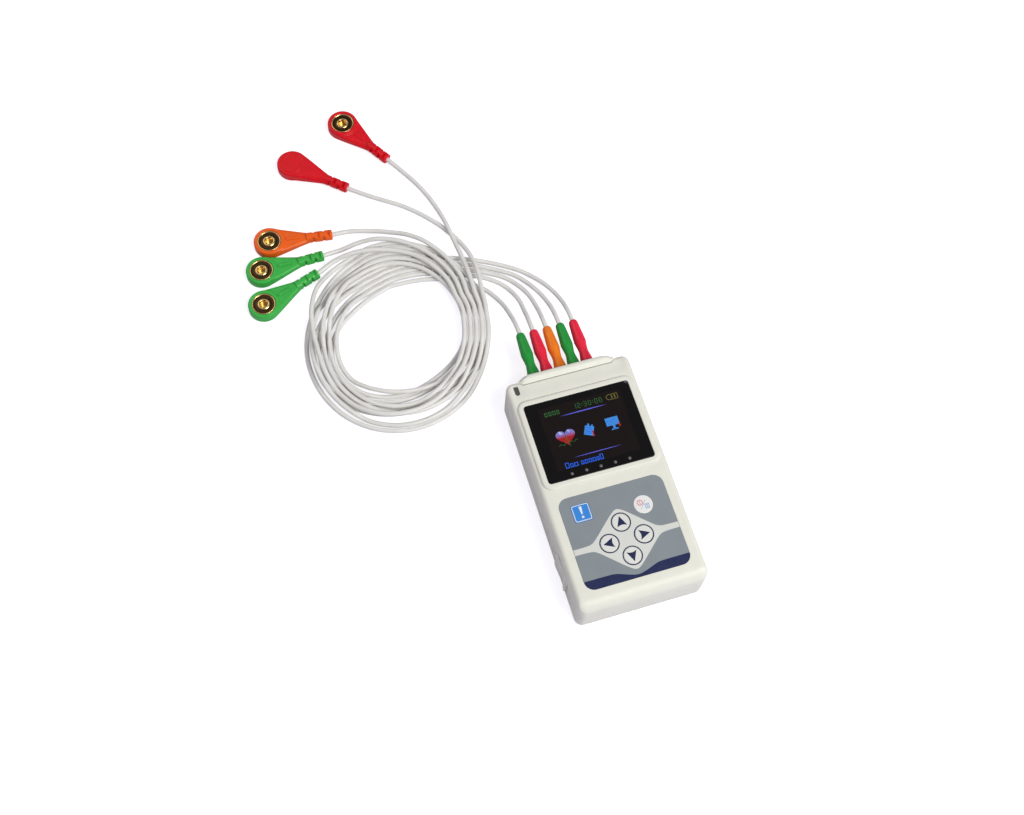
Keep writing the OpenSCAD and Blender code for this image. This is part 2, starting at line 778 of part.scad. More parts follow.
module usb_socket() {
  x0 = -body_w / 2 + port_pocket + seat_gap;
  color("silver")
    difference() {
      translate([x0, usb_y - usb_w / 2, port_z - usb_h / 2])
        cube([usb_l, usb_w, usb_h]);
      translate([x0 - 1, usb_y - usb_w / 2 + 0.5, port_z - usb_h / 2 + 0.5])
        cube([usb_l - 2, usb_w - 1, usb_h - 1]);
    }
}

// Holder of the memory card, under the main board
module card_holder() {
  color("silver")
    difference() {
      translate([card_x - card_w / 2 - 2, card_y, board_z - 2])
        cube([card_w + 4, card_l, 2]);
      translate([card_x - card_w / 2 - 0.5, card_y - 1, board_z - 1.6])
        cube([card_w + 1, card_l, 1.1]);
    }
}

module memory_card() {
  color([0.15, 0.15, 0.16])
    translate([card_x - card_w / 2, card_y - 1, board_z - 1.5])
      cube([card_w, card_l, 0.9]);
}

module buzzer() {
  color([0.1, 0.1, 0.1])
    translate([buzzer_x, buzzer_y, board_z - buzzer_h])
      difference() {
        cylinder(d = buzzer_d, h = buzzer_h);
        translate([0, 0, -1])
          cylinder(d = 2, h = 2.5);
      }
}

module case_screws() {
  color("silver")
    at_case_screws() {
      translate([0, 0, screw_head_z])
        difference() {
          cylinder(d = screw_head_d, h = screw_head_h);
          translate([-0.3, -1.4, -1])
            cube([0.6, 2.8, 1.7]);
          translate([-1.4, -0.3, -1])
            cube([2.8, 0.6, 1.7]);
        }
      translate([0, 0, screw_head_z + screw_head_h - EPS])
        cylinder(d = screw_d, h = screw_l);
    }
}

module board_screws() {
  color("silver")
    at_board_screws()
      translate([0, 0, board_top]) {
        cylinder(d = 3.6, h = 1.3);
        translate([0, 0, -6])
          cylinder(d = board_screw_d, h = 6 + EPS);
      }
}

// Outline of a plug from its flange at the case to its cord end
function plug_profile() = let(r = plug_d / 2, l = plug_l) [
  [0, 0], [r - 0.25, 0], [r, 0.4], [r, 4.6], [0.9 * r, 6.8], [0.77 * r, 9.4], [0.8 * r, 11],
  [0.96 * r, 13.6], [r, 15.6], [0.98 * r, 18], [0.9 * r, 22], [0.81 * r, l - 2], [0.7 * r, l - 0.6],
  [plug_tip_r, l], [0, l]
];

module plug(k) {
  color(LEAD_COLOURS[k])
    translate([plug_x(k), plug_y, plug_z])
      rotate([-90, 0, 0])
        difference() {
          union() {
            rotate_extrude()
              polygon(plug_profile());
            translate([0, 0, -socket_depth + 0.8])
              cylinder(d = sleeve_d, h = socket_depth);
          }
          translate([0, 0, -socket_depth])
            cylinder(d = pin_d + 2 * (pin_gap + contact_wall), h = contact_l + 0.3);
        }
}

module plug_contacts() {
  color("gold")
    for (k = [0:lead_count - 1])
      translate([plug_x(k), plug_y, plug_z])
        rotate([-90, 0, 0])
          translate([0, 0, -socket_depth + 1.2])
            difference() {
              cylinder(d = pin_d + 2 * (pin_gap + contact_wall), h = contact_l - 1);
              translate([0, 0, -1])
                cylinder(d = pin_d + 2 * pin_gap, h = contact_l - 2);
            }
}

// The coil. Each lead runs round a common middle on its own lane, and lanes
// change places now and then. The first turn lies on the table and what is
// laid later is lifted over what already lies there.
function ease(x) = let(c = min(1, max(0, x))) c * c * (3 - 2 * c);
function ring_one(a) = 37 + 2 * cos(a) - sin(a) + 2.2 * cos(2 * a) + 2.4 * sin(2 * a);
function ring_two(a) = 43.2 - 0.1 * cos(a) + 0.6 * sin(a) - 2.7 * cos(2 * a) + 1.8 * sin(2 * a);
function ring_mid(u) = let(s = ease((u - 0.8) / 0.42), a = 360 * u) ring_one(a) * (1 - s) + ring_two(a) * s;
function lane_at(k, u) = LANES[0][k] - 2 + sum([for (c = [0:len(CHANGES) - 1])
  (LANES[c + 1][k] - LANES[c][k]) * ease((u - CHANGES[c][0]) / (CHANGES[c][1] - CHANGES[c][0]))]);
function sum(v, i = 0) = i >= len(v) ? 0 : v[i] + sum(v, i + 1);
function coil_r(k, i) = ring_mid(i / ring_n) + lane_at(k, i / ring_n) * lane_pitch;
// Least height at a sample: over the plug cords near 45 degrees, and up to the snap cords at the end
function least_z(i) =
  let(u = i / ring_n, a0 = 360 * (u - floor(u)), a = a0 > 300 ? a0 - 360 : a0,
      over = u > 0.9 ? ease((a + 8) / 24) * (1 - ease((a - 85) / 26)) : 0)
  max(cord_z + (lay + 0.1) * over, cord_z + (coil_end_z - cord_z) * ease((u - 1.86) / 0.12));
// Height that strand s = [lead, first sample, last sample, heights] asks for at sample i of lead k
function lift(k, i, s, back) =
  let(js = [for (j = [i - back - 1:i - back + 1]) if (j >= s[1] && j <= s[2]) j])
  len(js) == 0 || (s[0] == k && back == 0) ? 0 :
  let(dr = [for (j = js) coil_r(k, j + back) - coil_r(s[0], j)],
      near = min(dr) * max(dr) < 0 ? 0 : min([for (d = dr) abs(d)]))
  near >= lay ? 0 : max([for (j = js) s[3][j - s[1]]]) + sqrt(lay * lay - near * near);
function strand(k, i0, i1, laid) = [k, i0, i1,
  [for (i = [i0:i1]) max(concat([least_z(i)], [for (s = laid) max(lift(k, i, s, 0), lift(k, i, s, ring_n))]))]];
function lay_all(order, i0, i1, laid, n = 0) =
  n >= len(order) ? laid : lay_all(order, i0, i1, concat(laid, [strand(order[n], i0, i1, laid)]), n + 1);
LAYED = lay_all(LAID, coil_split, coil_end, lay_all(LAID, coil_start, coil_split, []));
function heights(k) =
  let(s = [for (x = LAYED) if (x[0] == k) x[3]])
  concat([for (i = [0:len(s[0]) - 2]) s[0][i]], s[1]);
function level(v) = [v[0], v[1], 0];
function coil_points(k) =
  let(z = heights(k))
  [for (i = [coil_start:coil_end]) let(r = coil_r(k, i), a = 360 * i / ring_n)
    [coil_x + r * cos(a), coil_y + r * sin(a), z[i - coil_start]]];
// The coil's ends run straight for one diameter
function coil_route(k) =
  let(p = coil_points(k), n = len(p), t0 = unit(level(p[1] - p[0])), t1 = unit(level(p[n - 1] - p[n - 2])))
  concat([p[0] - cord_d * t0], p, [p[n - 1] + cord_d * t1]);
ROUTES = [for (k = [0:lead_count - 1]) coil_route(k)];

module cord_coil(k) {
  p = ROUTES[k];
  n = len(p);
  color(CORD)
    tube(p, cord_d, 6, p[1] - p[0], p[n - 1] - p[n - 2]);
}

// Where a snap's cord starts, and which way it leaves
function snap_end(k) = [SNAPS[k][0] + snap_l * cos(SNAPS[k][2]), SNAPS[k][1] + snap_l * sin(SNAPS[k][2]), snap_h / 2];
function snap_way(k) = [cos(SNAPS[k][2]), sin(SNAPS[k][2]), 0];

module cord_ends(k) {
  p = ROUTES[k];
  n = len(p);
  color(CORD) {
    tube(concat([[plug_x(k), plug_end_y, plug_z]], PLUG_RUNS[k], [p[0]]), cord_d, 8, [0, 1, 0], p[1] - p[0]);
    tube(concat([p[n - 1]], SNAP_RUNS[k], [snap_end(k)]), cord_d, 8, p[n - 1] - p[n - 2], -snap_way(k));
  }
}

// Snap head: a round head, a tapering neck and a slotted strain relief
module at_snap(k) {
  translate([SNAPS[k][0], SNAPS[k][1], 0])
    rotate([0, 0, SNAPS[k][2]])
      if (FLIPPED[k])
        translate([0, 0, snap_h])
          rotate([180, 0, 0])
            children();
      else
        children();
}

module snap(k) {
  r = snap_d / 2;
  neck_x = snap_l - boot_l;
  color(LEAD_COLOURS[k])
    at_snap(k)
      difference() {
        union() {
          rotate_extrude()
            polygon([[0, 0], [r - 0.8, 0], [r, 0.8], [r, snap_h - 0.8], [r - 0.8, snap_h], [0, snap_h]]);
          hull() {
            translate([0, 0, 0.2])
              cylinder(r = r - 0.4, h = snap_h - 1.4, $fn = HULL_FN);
            translate([neck_x, 0, snap_h / 2])
              rotate([0, 90, 0])
                cylinder(r = boot_r, h = 0.5, $fn = HULL_FN);
          }
          translate([neck_x, 0, snap_h / 2])
            rotate([0, 90, 0])
              cylinder(r = boot_r, h = boot_l);
        }
        translate([0, 0, snap_h - dish_depth])
          cylinder(r = r - snap_rim, h = 2);
        translate([0, 0, snap_h - dish_depth - socket_hole - 0.5])
          cylinder(d = stud_d + 2 * socket_wall, h = 5);
        // Slots of the strain relief, by turns on the sides and on top and below
        for (i = [0:3], s = [-1, 1])
          translate([neck_x + 2 + 2.6 * i, 0, snap_h / 2])
            rotate([i % 2 * 90, 0, 0])
              translate([0, s * boot_r - (s > 0 ? 1.3 : 0) + (s < 0 ? -0.2 : 0.2), -boot_r - 1])
                cube([1.2, 1.3, 2 * boot_r + 2]);
      }
}

module snap_sockets() {
  r = snap_d / 2;
  color([0.35, 0.27, 0.16])
    for (k = [0:lead_count - 1])
      at_snap(k)
        difference() {
          union() {
            translate([0, 0, snap_h - dish_depth])
              cylinder(r = r - snap_rim - 0.05, h = dish_depth - 0.3);
            translate([0, 0, snap_h - dish_depth - socket_hole - 0.5])
              cylinder(d = stud_d + 2 * socket_wall - 0.1, h = socket_hole + 0.5 + dish_depth - 0.1);
          }
          translate([0, 0, snap_h - dish_depth - socket_hole + 0.3])
            cylinder(d = stud_d, h = 6);
        }
}

// Least gap between two cords, and of each cord to itself, measured on the points of the coil
function seg_gap(p, q) =
  min([for (a = p) min([for (j = [0:len(q) - 2])
    let(b = q[j], v = q[j + 1] - b, t = min(1, max(0, (a - b) * v / (v * v)))) norm(a - b - t * v)])]) - cord_d;
function part_of(p, i0, i1) = [for (i = [max(0, i0):min(len(p) - 1, i1)]) p[i]];
echo(least_gap_between_coils = min([for (a = [0:lead_count - 2], b = [a + 1:lead_count - 1]) seg_gap(ROUTES[a], ROUTES[b])]));
echo(least_gap_to_itself = min([for (k = [0:lead_count - 1], i = [0:len(ROUTES[k]) - 16])
  seg_gap([ROUTES[k][i]], part_of(ROUTES[k], i + 12, len(ROUTES[k]) - 1))]));

front_cover();
rear_cover();
display_window();
display_panel();
display_frame();
keypad_film();
key(0);  // key_up
key(1);  // key_down
key(2);  // key_left
key(3);  // key_right
key(4);  // key_mark
key(5);  // key_power
key_switches();
main_board();
board_chips();
status_lights();
indicator_lens();
socket_block();
socket_pins();
battery_door();
battery_cells();
battery_springs();
battery_plates();
port_cover();
port_cover_pin();
usb_socket();
memory_card();
card_holder();
buzzer();
case_screws();
board_screws();
plug(0);  // plug_1
plug(1);  // plug_2
plug(2);  // plug_3
plug(3);  // plug_4
plug(4);  // plug_5
plug_contacts();
cord_ends(0);  // cord_1_ends
cord_ends(1);  // cord_2_ends
cord_ends(2);  // cord_3_ends
cord_ends(3);  // cord_4_ends
cord_ends(4);  // cord_5_ends
cord_coil(0);  // cord_1_coil
cord_coil(1);  // cord_2_coil
cord_coil(2);  // cord_3_coil
cord_coil(3);  // cord_4_coil
cord_coil(4);  // cord_5_coil
snap(0);  // snap_1
snap(1);  // snap_2
snap(2);  // snap_3
snap(3);  // snap_4
snap(4);  // snap_5
snap_sockets();
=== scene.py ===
"""Holter monitor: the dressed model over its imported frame. All sizes are in millimetres until a mesh is made."""

import logging
import math
from collections.abc import Callable, Mapping, Sequence
from dataclasses import dataclass, field
from enum import Enum
from functools import lru_cache

import bmesh
import bpy
import numpy as np
from mathutils import Matrix, Vector
from mathutils.geometry import delaunay_2d_cdt


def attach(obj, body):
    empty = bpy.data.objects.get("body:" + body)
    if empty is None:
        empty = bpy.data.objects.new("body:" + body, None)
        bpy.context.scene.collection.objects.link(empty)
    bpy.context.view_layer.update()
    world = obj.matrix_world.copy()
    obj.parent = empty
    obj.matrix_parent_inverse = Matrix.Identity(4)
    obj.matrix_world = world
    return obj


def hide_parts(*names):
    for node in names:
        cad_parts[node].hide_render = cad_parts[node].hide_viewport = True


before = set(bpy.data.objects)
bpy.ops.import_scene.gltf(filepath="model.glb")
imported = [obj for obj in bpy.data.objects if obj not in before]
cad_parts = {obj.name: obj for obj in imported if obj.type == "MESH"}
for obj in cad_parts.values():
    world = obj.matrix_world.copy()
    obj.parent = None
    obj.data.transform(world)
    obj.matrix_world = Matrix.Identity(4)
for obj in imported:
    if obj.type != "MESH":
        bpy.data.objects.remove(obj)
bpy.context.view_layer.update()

MM = 0.001
Array = np.ndarray
Rgb = tuple[int, int, int]
Triple = tuple[float, float, float]
NodeSocket = bpy.types.NodeSocket
LOG = logging.getLogger("holter_monitor")

# Numbers of a colour mixing node's sockets: its factor, its two colours and what comes out
MIX_FACTOR, MIX_FIRST, MIX_SECOND, MIX_RESULT = 0, 6, 7, 2


# Finishes


class Pattern(Enum):
    """How a finish's fine relief runs."""

    SPECKLE = "speckle"
    BRUSHED = "brushed"
    PIXELS = "pixels"


def linear(rgb: Rgb, share: float = 1.0) -> tuple[float, float, float, float]:
    """Turns a colour of 0 to 255 a channel into a linear one, with its brightness times share.

    Args:
        rgb: Colour as it is seen.
        share: Factor on the linear channels.

    Returns:
        Linear red, green, blue and 1.
    """
    seen = np.array(rgb) / 255.0
    value = np.where(seen <= 0.04045, seen / 12.92, ((seen + 0.055) / 1.055) ** 2.4) * share
    return (float(value[0]), float(value[1]), float(value[2]), 1.0)


@dataclass(frozen=True)
class Finish:
    """One material: colour, mottling, gloss and fine relief.

    Attributes:
        name: Name of the material.
        rgb: Main colour, 0 to 255 a channel.
        mottle: How much darker the mottled patches are, as a share.
        patch: Size of the patches in mm.
        roughness: Middle roughness.
        swing: How far the roughness swings about its middle.
        grain: Size of the relief's grain in mm.
        relief: Depth of the relief in mm.
        metallic: 1 for bare metal.
        coat: Weight of a clear coat.
        specular: Specular level.
        glow: Strength of the light that a lit area gives off.
        edge: Radius in mm to which sharp edges are softened.
        fade: Second colour, and the two heights along Y between which it takes over.
        pattern: How the relief runs.
    """

    name: str
    rgb: Rgb
    mottle: float = 0.05
    patch: float = 9.0
    roughness: float = 0.42
    swing: float = 0.07
    grain: float = 0.3
    relief: float = 0.006
    metallic: float = 0.0
    coat: float = 0.0
    specular: float = 0.35
    glow: float = 0.0
    edge: float = 0.0
    fade: tuple[Rgb, float, float] | None = None
    pattern: Pattern = Pattern.SPECKLE


def preset(node: bpy.types.Node, values: Mapping[str, object]) -> None:
    """Sets a node's inputs by their names."""
    for name, value in values.items():
        node.inputs[name].default_value = value


@lru_cache(maxsize=None)
def dressed(finish: Finish) -> bpy.types.Material:
    """Builds the node tree of a finish once.

    Patches are a broad noise between the colour and a darker one, gloss follows a second noise, and the relief is
    a fine noise, stretched along Y where it is brushed.

    Args:
        finish: What to build.

    Returns:
        The material.
    """
    material = bpy.data.materials.new(finish.name)
    material.use_nodes = True
    nodes, links = material.node_tree.nodes, material.node_tree.links
    shader = nodes["Principled BSDF"]
    place = nodes.new("ShaderNodeTexCoord").outputs["Object"]

    def scaled(scale: Triple) -> NodeSocket:
        """Scales the place on the object along each axis.

        Args:
            scale: Factor of each axis.

        Returns:
            The scaled place.
        """
        mapping = nodes.new("ShaderNodeMapping")
        mapping.inputs["Scale"].default_value = scale
        links.new(place, mapping.inputs["Vector"])
        return mapping.outputs["Vector"]

    def noise(size: float, detail: float, stretch: float = 1.0) -> NodeSocket:
        """Noise, drawn out along Y where it is stretched.

        Args:
            size: Size of its features in mm.
            detail: Number of finer layers.
            stretch: How many times longer they are along Y.

        Returns:
            Its value.
        """
        spread = scaled((1.0, 1.0 / stretch, 1.0))
        texture = nodes.new("ShaderNodeTexNoise")
        preset(texture, {"Scale": 1.0 / (size * MM), "Detail": detail})
        links.new(spread, texture.inputs["Vector"])
        return texture.outputs["Fac"]

    def between(source: NodeSocket, low: float, high: float, out: tuple[float, float]) -> NodeSocket:
        """Maps a range of a value onto another.

        Args:
            source: The value.
            low: Start of its range.
            high: End of its range.
            out: Start and end of the new range.

        Returns:
            The new value.
        """
        ranged = nodes.new("ShaderNodeMapRange")
        links.new(source, ranged.inputs["Value"])
        preset(ranged, {"From Min": low, "From Max": high, "To Min": out[0], "To Max": out[1]})
        return ranged.outputs["Result"]

    def mixed(factor: NodeSocket, first: object, second: object) -> NodeSocket:
        """Mixes two colours, each a socket or a plain colour.

        Args:
            factor: Share of the second.
            first: One colour.
            second: The other colour.

        Returns:
            The mixed colour.
        """
        mix = nodes.new("ShaderNodeMix")
        mix.data_type = "RGBA"
        links.new(factor, mix.inputs[MIX_FACTOR])
        for socket, colour in ((mix.inputs[MIX_FIRST], first), (mix.inputs[MIX_SECOND], second)):
            if isinstance(colour, NodeSocket):
                links.new(colour, socket)
            else:
                socket.default_value = colour
        return mix.outputs[MIX_RESULT]

    colour = mixed(between(noise(finish.patch, 3), 0.35, 0.65, (0.0, 1.0)),
                   linear(finish.rgb), linear(finish.rgb, 1.0 - finish.mottle))
    if finish.fade:
        second, start, end = finish.fade
        split = nodes.new("ShaderNodeSeparateXYZ")
        links.new(place, split.inputs[0])
        colour = mixed(between(split.outputs["Y"], start * MM, end * MM, (0.0, 1.0)), colour, linear(second))
    if finish.pattern is Pattern.PIXELS:
        per_mm, pitch = 1000.0, 0.26
        in_mm = scaled((per_mm, per_mm, per_mm))
        pixels = nodes.new("ShaderNodeTexBrick")
        pixels.offset = 0.0
        preset(pixels, {"Scale": 1.0, "Mortar Size": 0.03, "Mortar Smooth": 0.3, "Brick Width": pitch,
                        "Row Height": pitch})
        links.new(in_mm, pixels.inputs["Vector"])
        colour = mixed(pixels.outputs["Fac"], colour, linear(finish.rgb, 0.25))
    links.new(colour, shader.inputs["Base Color"])
    if finish.glow:
        links.new(colour, shader.inputs["Emission Color"])
        shader.inputs["Emission Strength"].default_value = finish.glow
    gloss = (finish.roughness - finish.swing, finish.roughness + finish.swing)
    links.new(between(noise(finish.patch / 3, 2), 0.3, 0.7, gloss), shader.inputs["Roughness"])
    preset(shader, {"Metallic": finish.metallic, "Specular IOR Level": finish.specular, "Coat Weight": finish.coat,
                    "Coat Roughness": 0.08})
    if finish.relief:
        bump = nodes.new("ShaderNodeBump")
        preset(bump, {"Strength": 0.6, "Distance": finish.relief * MM})
        stretch = 12.0 if finish.pattern is Pattern.BRUSHED else 1.0
        links.new(noise(finish.grain, 2, stretch), bump.inputs["Height"])
        if finish.edge:
            soft = nodes.new("ShaderNodeBevel")
            soft.samples = 4
            soft.inputs["Radius"].default_value = finish.edge * MM
            links.new(soft.outputs["Normal"], bump.inputs["Normal"])
        links.new(bump.outputs["Normal"], shader.inputs["Normal"])
    return material


def printed(name: str, rgb: Rgb, mottle: float = 0.03, roughness: float = 0.34) -> Finish:
    """Satin printed plastic of the film and the keys."""
    return Finish(name, rgb, mottle=mottle, roughness=roughness, grain=0.12, relief=0.003)


def ink(name: str, rgb: Rgb, mottle: float = 0.05) -> Finish:
    """Printing ink of the signs on the keys."""
    return Finish(name, rgb, mottle=mottle, roughness=0.4, grain=0.1, relief=0.002)


def lead_plastic(name: str, rgb: Rgb, specular: float = 0.35) -> Finish:
    """Coloured plastic of the plugs and the snap heads."""
    return Finish(name, rgb, mottle=0.1, patch=5, roughness=0.36, grain=0.2, relief=0.006, specular=specular)


def lit_area(name: str, rgb: Rgb, glow: float = 0.4, fade: tuple[Rgb, float, float] | None = None) -> Finish:
    """Lit area of the screen, in its pixels."""
    return Finish(name, rgb, roughness=0.15, glow=glow, relief=0.0, fade=fade, pattern=Pattern.PIXELS)


CREAM = Finish("case_plastic", (236, 236, 224), mottle=0.03, roughness=0.4, grain=0.22, relief=0.005, edge=0.3)
CREAM_DARK = Finish("case_plastic_rear", (233, 233, 222), mottle=0.03, roughness=0.44, grain=0.22, edge=0.3)
GLASS = Finish("window_glass", (15, 14, 14), mottle=0.1, roughness=0.07, swing=0.03, relief=0.0, specular=0.25)
FILM_GREY = printed("film_grey", (139, 148, 153), 0.04, 0.38)
FILM_LIGHT = printed("film_light", (221, 223, 217), 0.03, 0.38)
FILM_NAVY = printed("film_navy", (36, 45, 86), 0.06, 0.36)
KEY_LIGHT = printed("key_light", (228, 229, 224))
KEY_WHITE = printed("key_white", (238, 238, 236))
KEY_BLUE = printed("key_blue", (62, 142, 226), 0.06)
INK_NAVY = ink("ink_navy", (34, 42, 82), 0.06)
INK_WHITE = ink("ink_white", (236, 240, 244), 0.03)
INK_RED = ink("ink_red", (222, 84, 92))
INK_BLUE = ink("ink_blue", (120, 160, 214))
PLUG_GREEN = lead_plastic("plug_green", (34, 158, 62))
PLUG_RED = lead_plastic("plug_red", (244, 40, 68), 0.3)
PLUG_ORANGE = lead_plastic("plug_orange", (255, 132, 26))
GREEN = lead_plastic("lead_green", (62, 190, 76))
RED = lead_plastic("lead_red", (234, 16, 32), 0.3)
ORANGE = lead_plastic("lead_orange", (254, 106, 22))
JACKET = Finish("cord_jacket", (240, 239, 234), mottle=0.06, patch=6, roughness=0.36, grain=0.25, relief=0.008,
                coat=0.1)
BRONZE = Finish("snap_bronze", (78, 58, 34), mottle=0.3, patch=1.2, roughness=0.34, metallic=1.0, relief=0.004,
                grain=0.2)
GOLD = Finish("snap_gold", (236, 204, 138), mottle=0.12, patch=1.5, roughness=0.22, metallic=1.0, relief=0.003,
              grain=0.2)
STEEL = Finish("bright_steel", (196, 198, 200), mottle=0.08, patch=2, roughness=0.28, metallic=1.0, relief=0.003,
               pattern=Pattern.BRUSHED)
BOARD = Finish("board_green", (22, 92, 52), mottle=0.25, patch=1.5, roughness=0.4, grain=0.4, relief=0.02)
BLACK = Finish("black_plastic", (34, 34, 37), mottle=0.15, patch=3, roughness=0.5, grain=0.2, relief=0.01)
SOCKET = Finish("socket_plastic", (84, 86, 90), mottle=0.08, patch=3, roughness=0.46, grain=0.2, relief=0.008)
CELL = Finish("cell_jacket", (176, 150, 74), mottle=0.08, patch=6, roughness=0.3, relief=0.004, coat=0.3)
PANEL = Finish("display_glass", (30, 27, 27), mottle=0.15, patch=5, roughness=0.12, relief=0.0)
LIGHT_GUIDE = Finish("light_guide", (112, 104, 110), mottle=0.08, patch=2, roughness=0.2, relief=0.002, coat=0.4)
LENS = Finish("lens_grey", (92, 93, 88), mottle=0.12, patch=1.5, roughness=0.34, relief=0.002, specular=0.2)
# Bright metal of the crescent laid on the window's upper right corner: a painted reflection, not a part of the
# device
PAINTED_GLINT = Finish("painted_glint", (214, 216, 218), mottle=0.05, patch=1, roughness=0.15, metallic=1.0, relief=0.001)
SCREEN_DARK = Finish("screen_dark", (31, 23, 22), mottle=0.12, patch=7, roughness=0.1, relief=0.0, specular=0.25,
                     pattern=Pattern.PIXELS)
SCREEN_GREEN = lit_area("screen_green", (46, 94, 50))
SCREEN_OLIVE = lit_area("screen_olive", (104, 100, 52))
SCREEN_LINE = lit_area("screen_line", (88, 92, 204), 0.6)
SCREEN_BLUE = lit_area("screen_blue", (66, 140, 222))
SCREEN_TEXT = lit_area("screen_text", (38, 100, 232), 0.5)
SCREEN_RED = lit_area("screen_red", (170, 40, 44))
SCREEN_HEART = lit_area("screen_heart", (166, 30, 30), fade=((126, 132, 214), 23.2, 25.4))
SCREEN_SHINE = lit_area("screen_shine", (176, 190, 236))


# Shapes


def rounded_loop(width: float, length: float, radius: float, middle: tuple[float, float] = (0.0, 0.0), arc: int = 8,
                 run: int = 4) -> tuple[Array, Array]:
    """Rounded rectangle, anticlockwise: four quarter circles of one radius, joined by straight runs.

    Args:
        width: Size along X.
        length: Size along Y.
        radius: Radius of the corners.
        middle: Its middle.
        arc: Steps in each corner.
        run: Steps in each straight run.

    Returns:
        Points and outward normals, both of shape (n, 2).
    """
    corner = np.radians(np.array([0.0, 90.0, 180.0, 270.0]))
    centre = np.array([[1, 1], [-1, 1], [-1, -1], [1, -1]]) * (np.array([width, length]) / 2 - radius)
    angle = corner[:, None] + np.linspace(0.0, math.pi / 2, arc + 1)
    normal = np.stack([np.cos(angle), np.sin(angle)], -1)
    bend = centre[:, None] + radius * normal
    share = np.linspace(0.0, 1.0, run + 1)[1:-1][None, :, None]
    straight = bend[:, -1:] * (1 - share) + np.roll(bend, -1, 0)[:, :1] * share
    points = np.concatenate([bend, straight], 1).reshape(-1, 2) + np.array(middle)
    normals = np.concatenate([normal, np.repeat(normal[:, -1:], run - 1, 1)], 1).reshape(-1, 2)
    return points, normals


def circle(radius: float, middle: tuple[float, float] = (0.0, 0.0), steps: int = 40) -> Array:
    """Circle as (steps, 2) points, anticlockwise from +X."""
    angle = np.linspace(0.0, 2 * math.pi, steps, endpoint=False)
    return np.stack([np.cos(angle), np.sin(angle)], -1) * radius + np.array(middle)


def ease(x: Array | float) -> Array:
    """Smooth step: 3c squared minus 2c cubed, with c held between 0 and 1."""
    c = np.clip(x, 0.0, 1.0)
    return c * c * (3 - 2 * c)


def soft_max(a: Array, b: Array | float, width: float) -> Array:
    """The larger value with a rounded change: half of the sum and the root of difference and width squared.

    Args:
        a: One value.
        b: The other value.
        width: How soft the change is.

    Returns:
        The rounded larger value.
    """
    return 0.5 * (a + b + np.sqrt((a - b) ** 2 + width * width))


def inside(points: Array, loop: Array) -> Array:
    """Tells which points lie in a loop: a ray to +X crosses it an odd number of times.

    Args:
        points: (n, 2) points.
        loop: (m, 2) closed outline.

    Returns:
        (n,) truth values.
    """
    a, b = loop, np.roll(loop, -1, 0)
    px, py = points[:, :1], points[:, 1:2]
    rise = np.where(np.abs(b[:, 1] - a[:, 1]) < 1e-12, 1e-12, b[:, 1] - a[:, 1])
    x = a[:, 0] + (py - a[:, 1]) / rise * (b[:, 0] - a[:, 0])
    crossed = ((a[:, 1] > py) != (b[:, 1] > py)) & (px < x)
    return crossed.sum(1) % 2 == 1


def turned(points: Array, degrees: float) -> Array:
    """Turns flat points anticlockwise about the origin."""
    c, s = math.cos(math.radians(degrees)), math.sin(math.radians(degrees))
    return points @ np.array([[c, s], [-s, c]])


def at_height(loop: Array, z: Array | float) -> Array:
    """A flat loop lifted to a height: (n, 2) points and z become (n, 3) points."""
    return np.concatenate([loop, np.broadcast_to(np.reshape(z, (-1, 1)), (len(loop), 1))], 1)


def linked(name: str, data: bpy.types.ID) -> bpy.types.Object:
    """Makes an object of a mesh, curve, lamp or camera and links it to the scene.

    Args:
        name: Name of the object.
        data: What it shows.

    Returns:
        The object.
    """
    made = bpy.data.objects.new(name, data)
    bpy.context.scene.collection.objects.link(made)
    return made


def smoothed(mesh: bpy.types.Mesh, sharp: float, slivers: bool) -> None:
    """Merges a mesh's points within 2 micrometres and shades it smooth but for its sharp edges.

    Args:
        mesh: The mesh, in metres.
        sharp: Angle in degrees from which an edge stays sharp.
        slivers: Whether faces that have no area are taken out.
    """
    work = bmesh.new()
    work.from_mesh(mesh)
    bmesh.ops.remove_doubles(work, verts=work.verts, dist=2e-6)
    if slivers:
        bmesh.ops.dissolve_degenerate(work, edges=work.edges, dist=1e-7)
    work.to_mesh(mesh)
    work.free()
    mesh.polygons.foreach_set("use_smooth", np.ones(len(mesh.polygons), bool))
    mesh.set_sharp_from_angle(angle=math.radians(sharp))


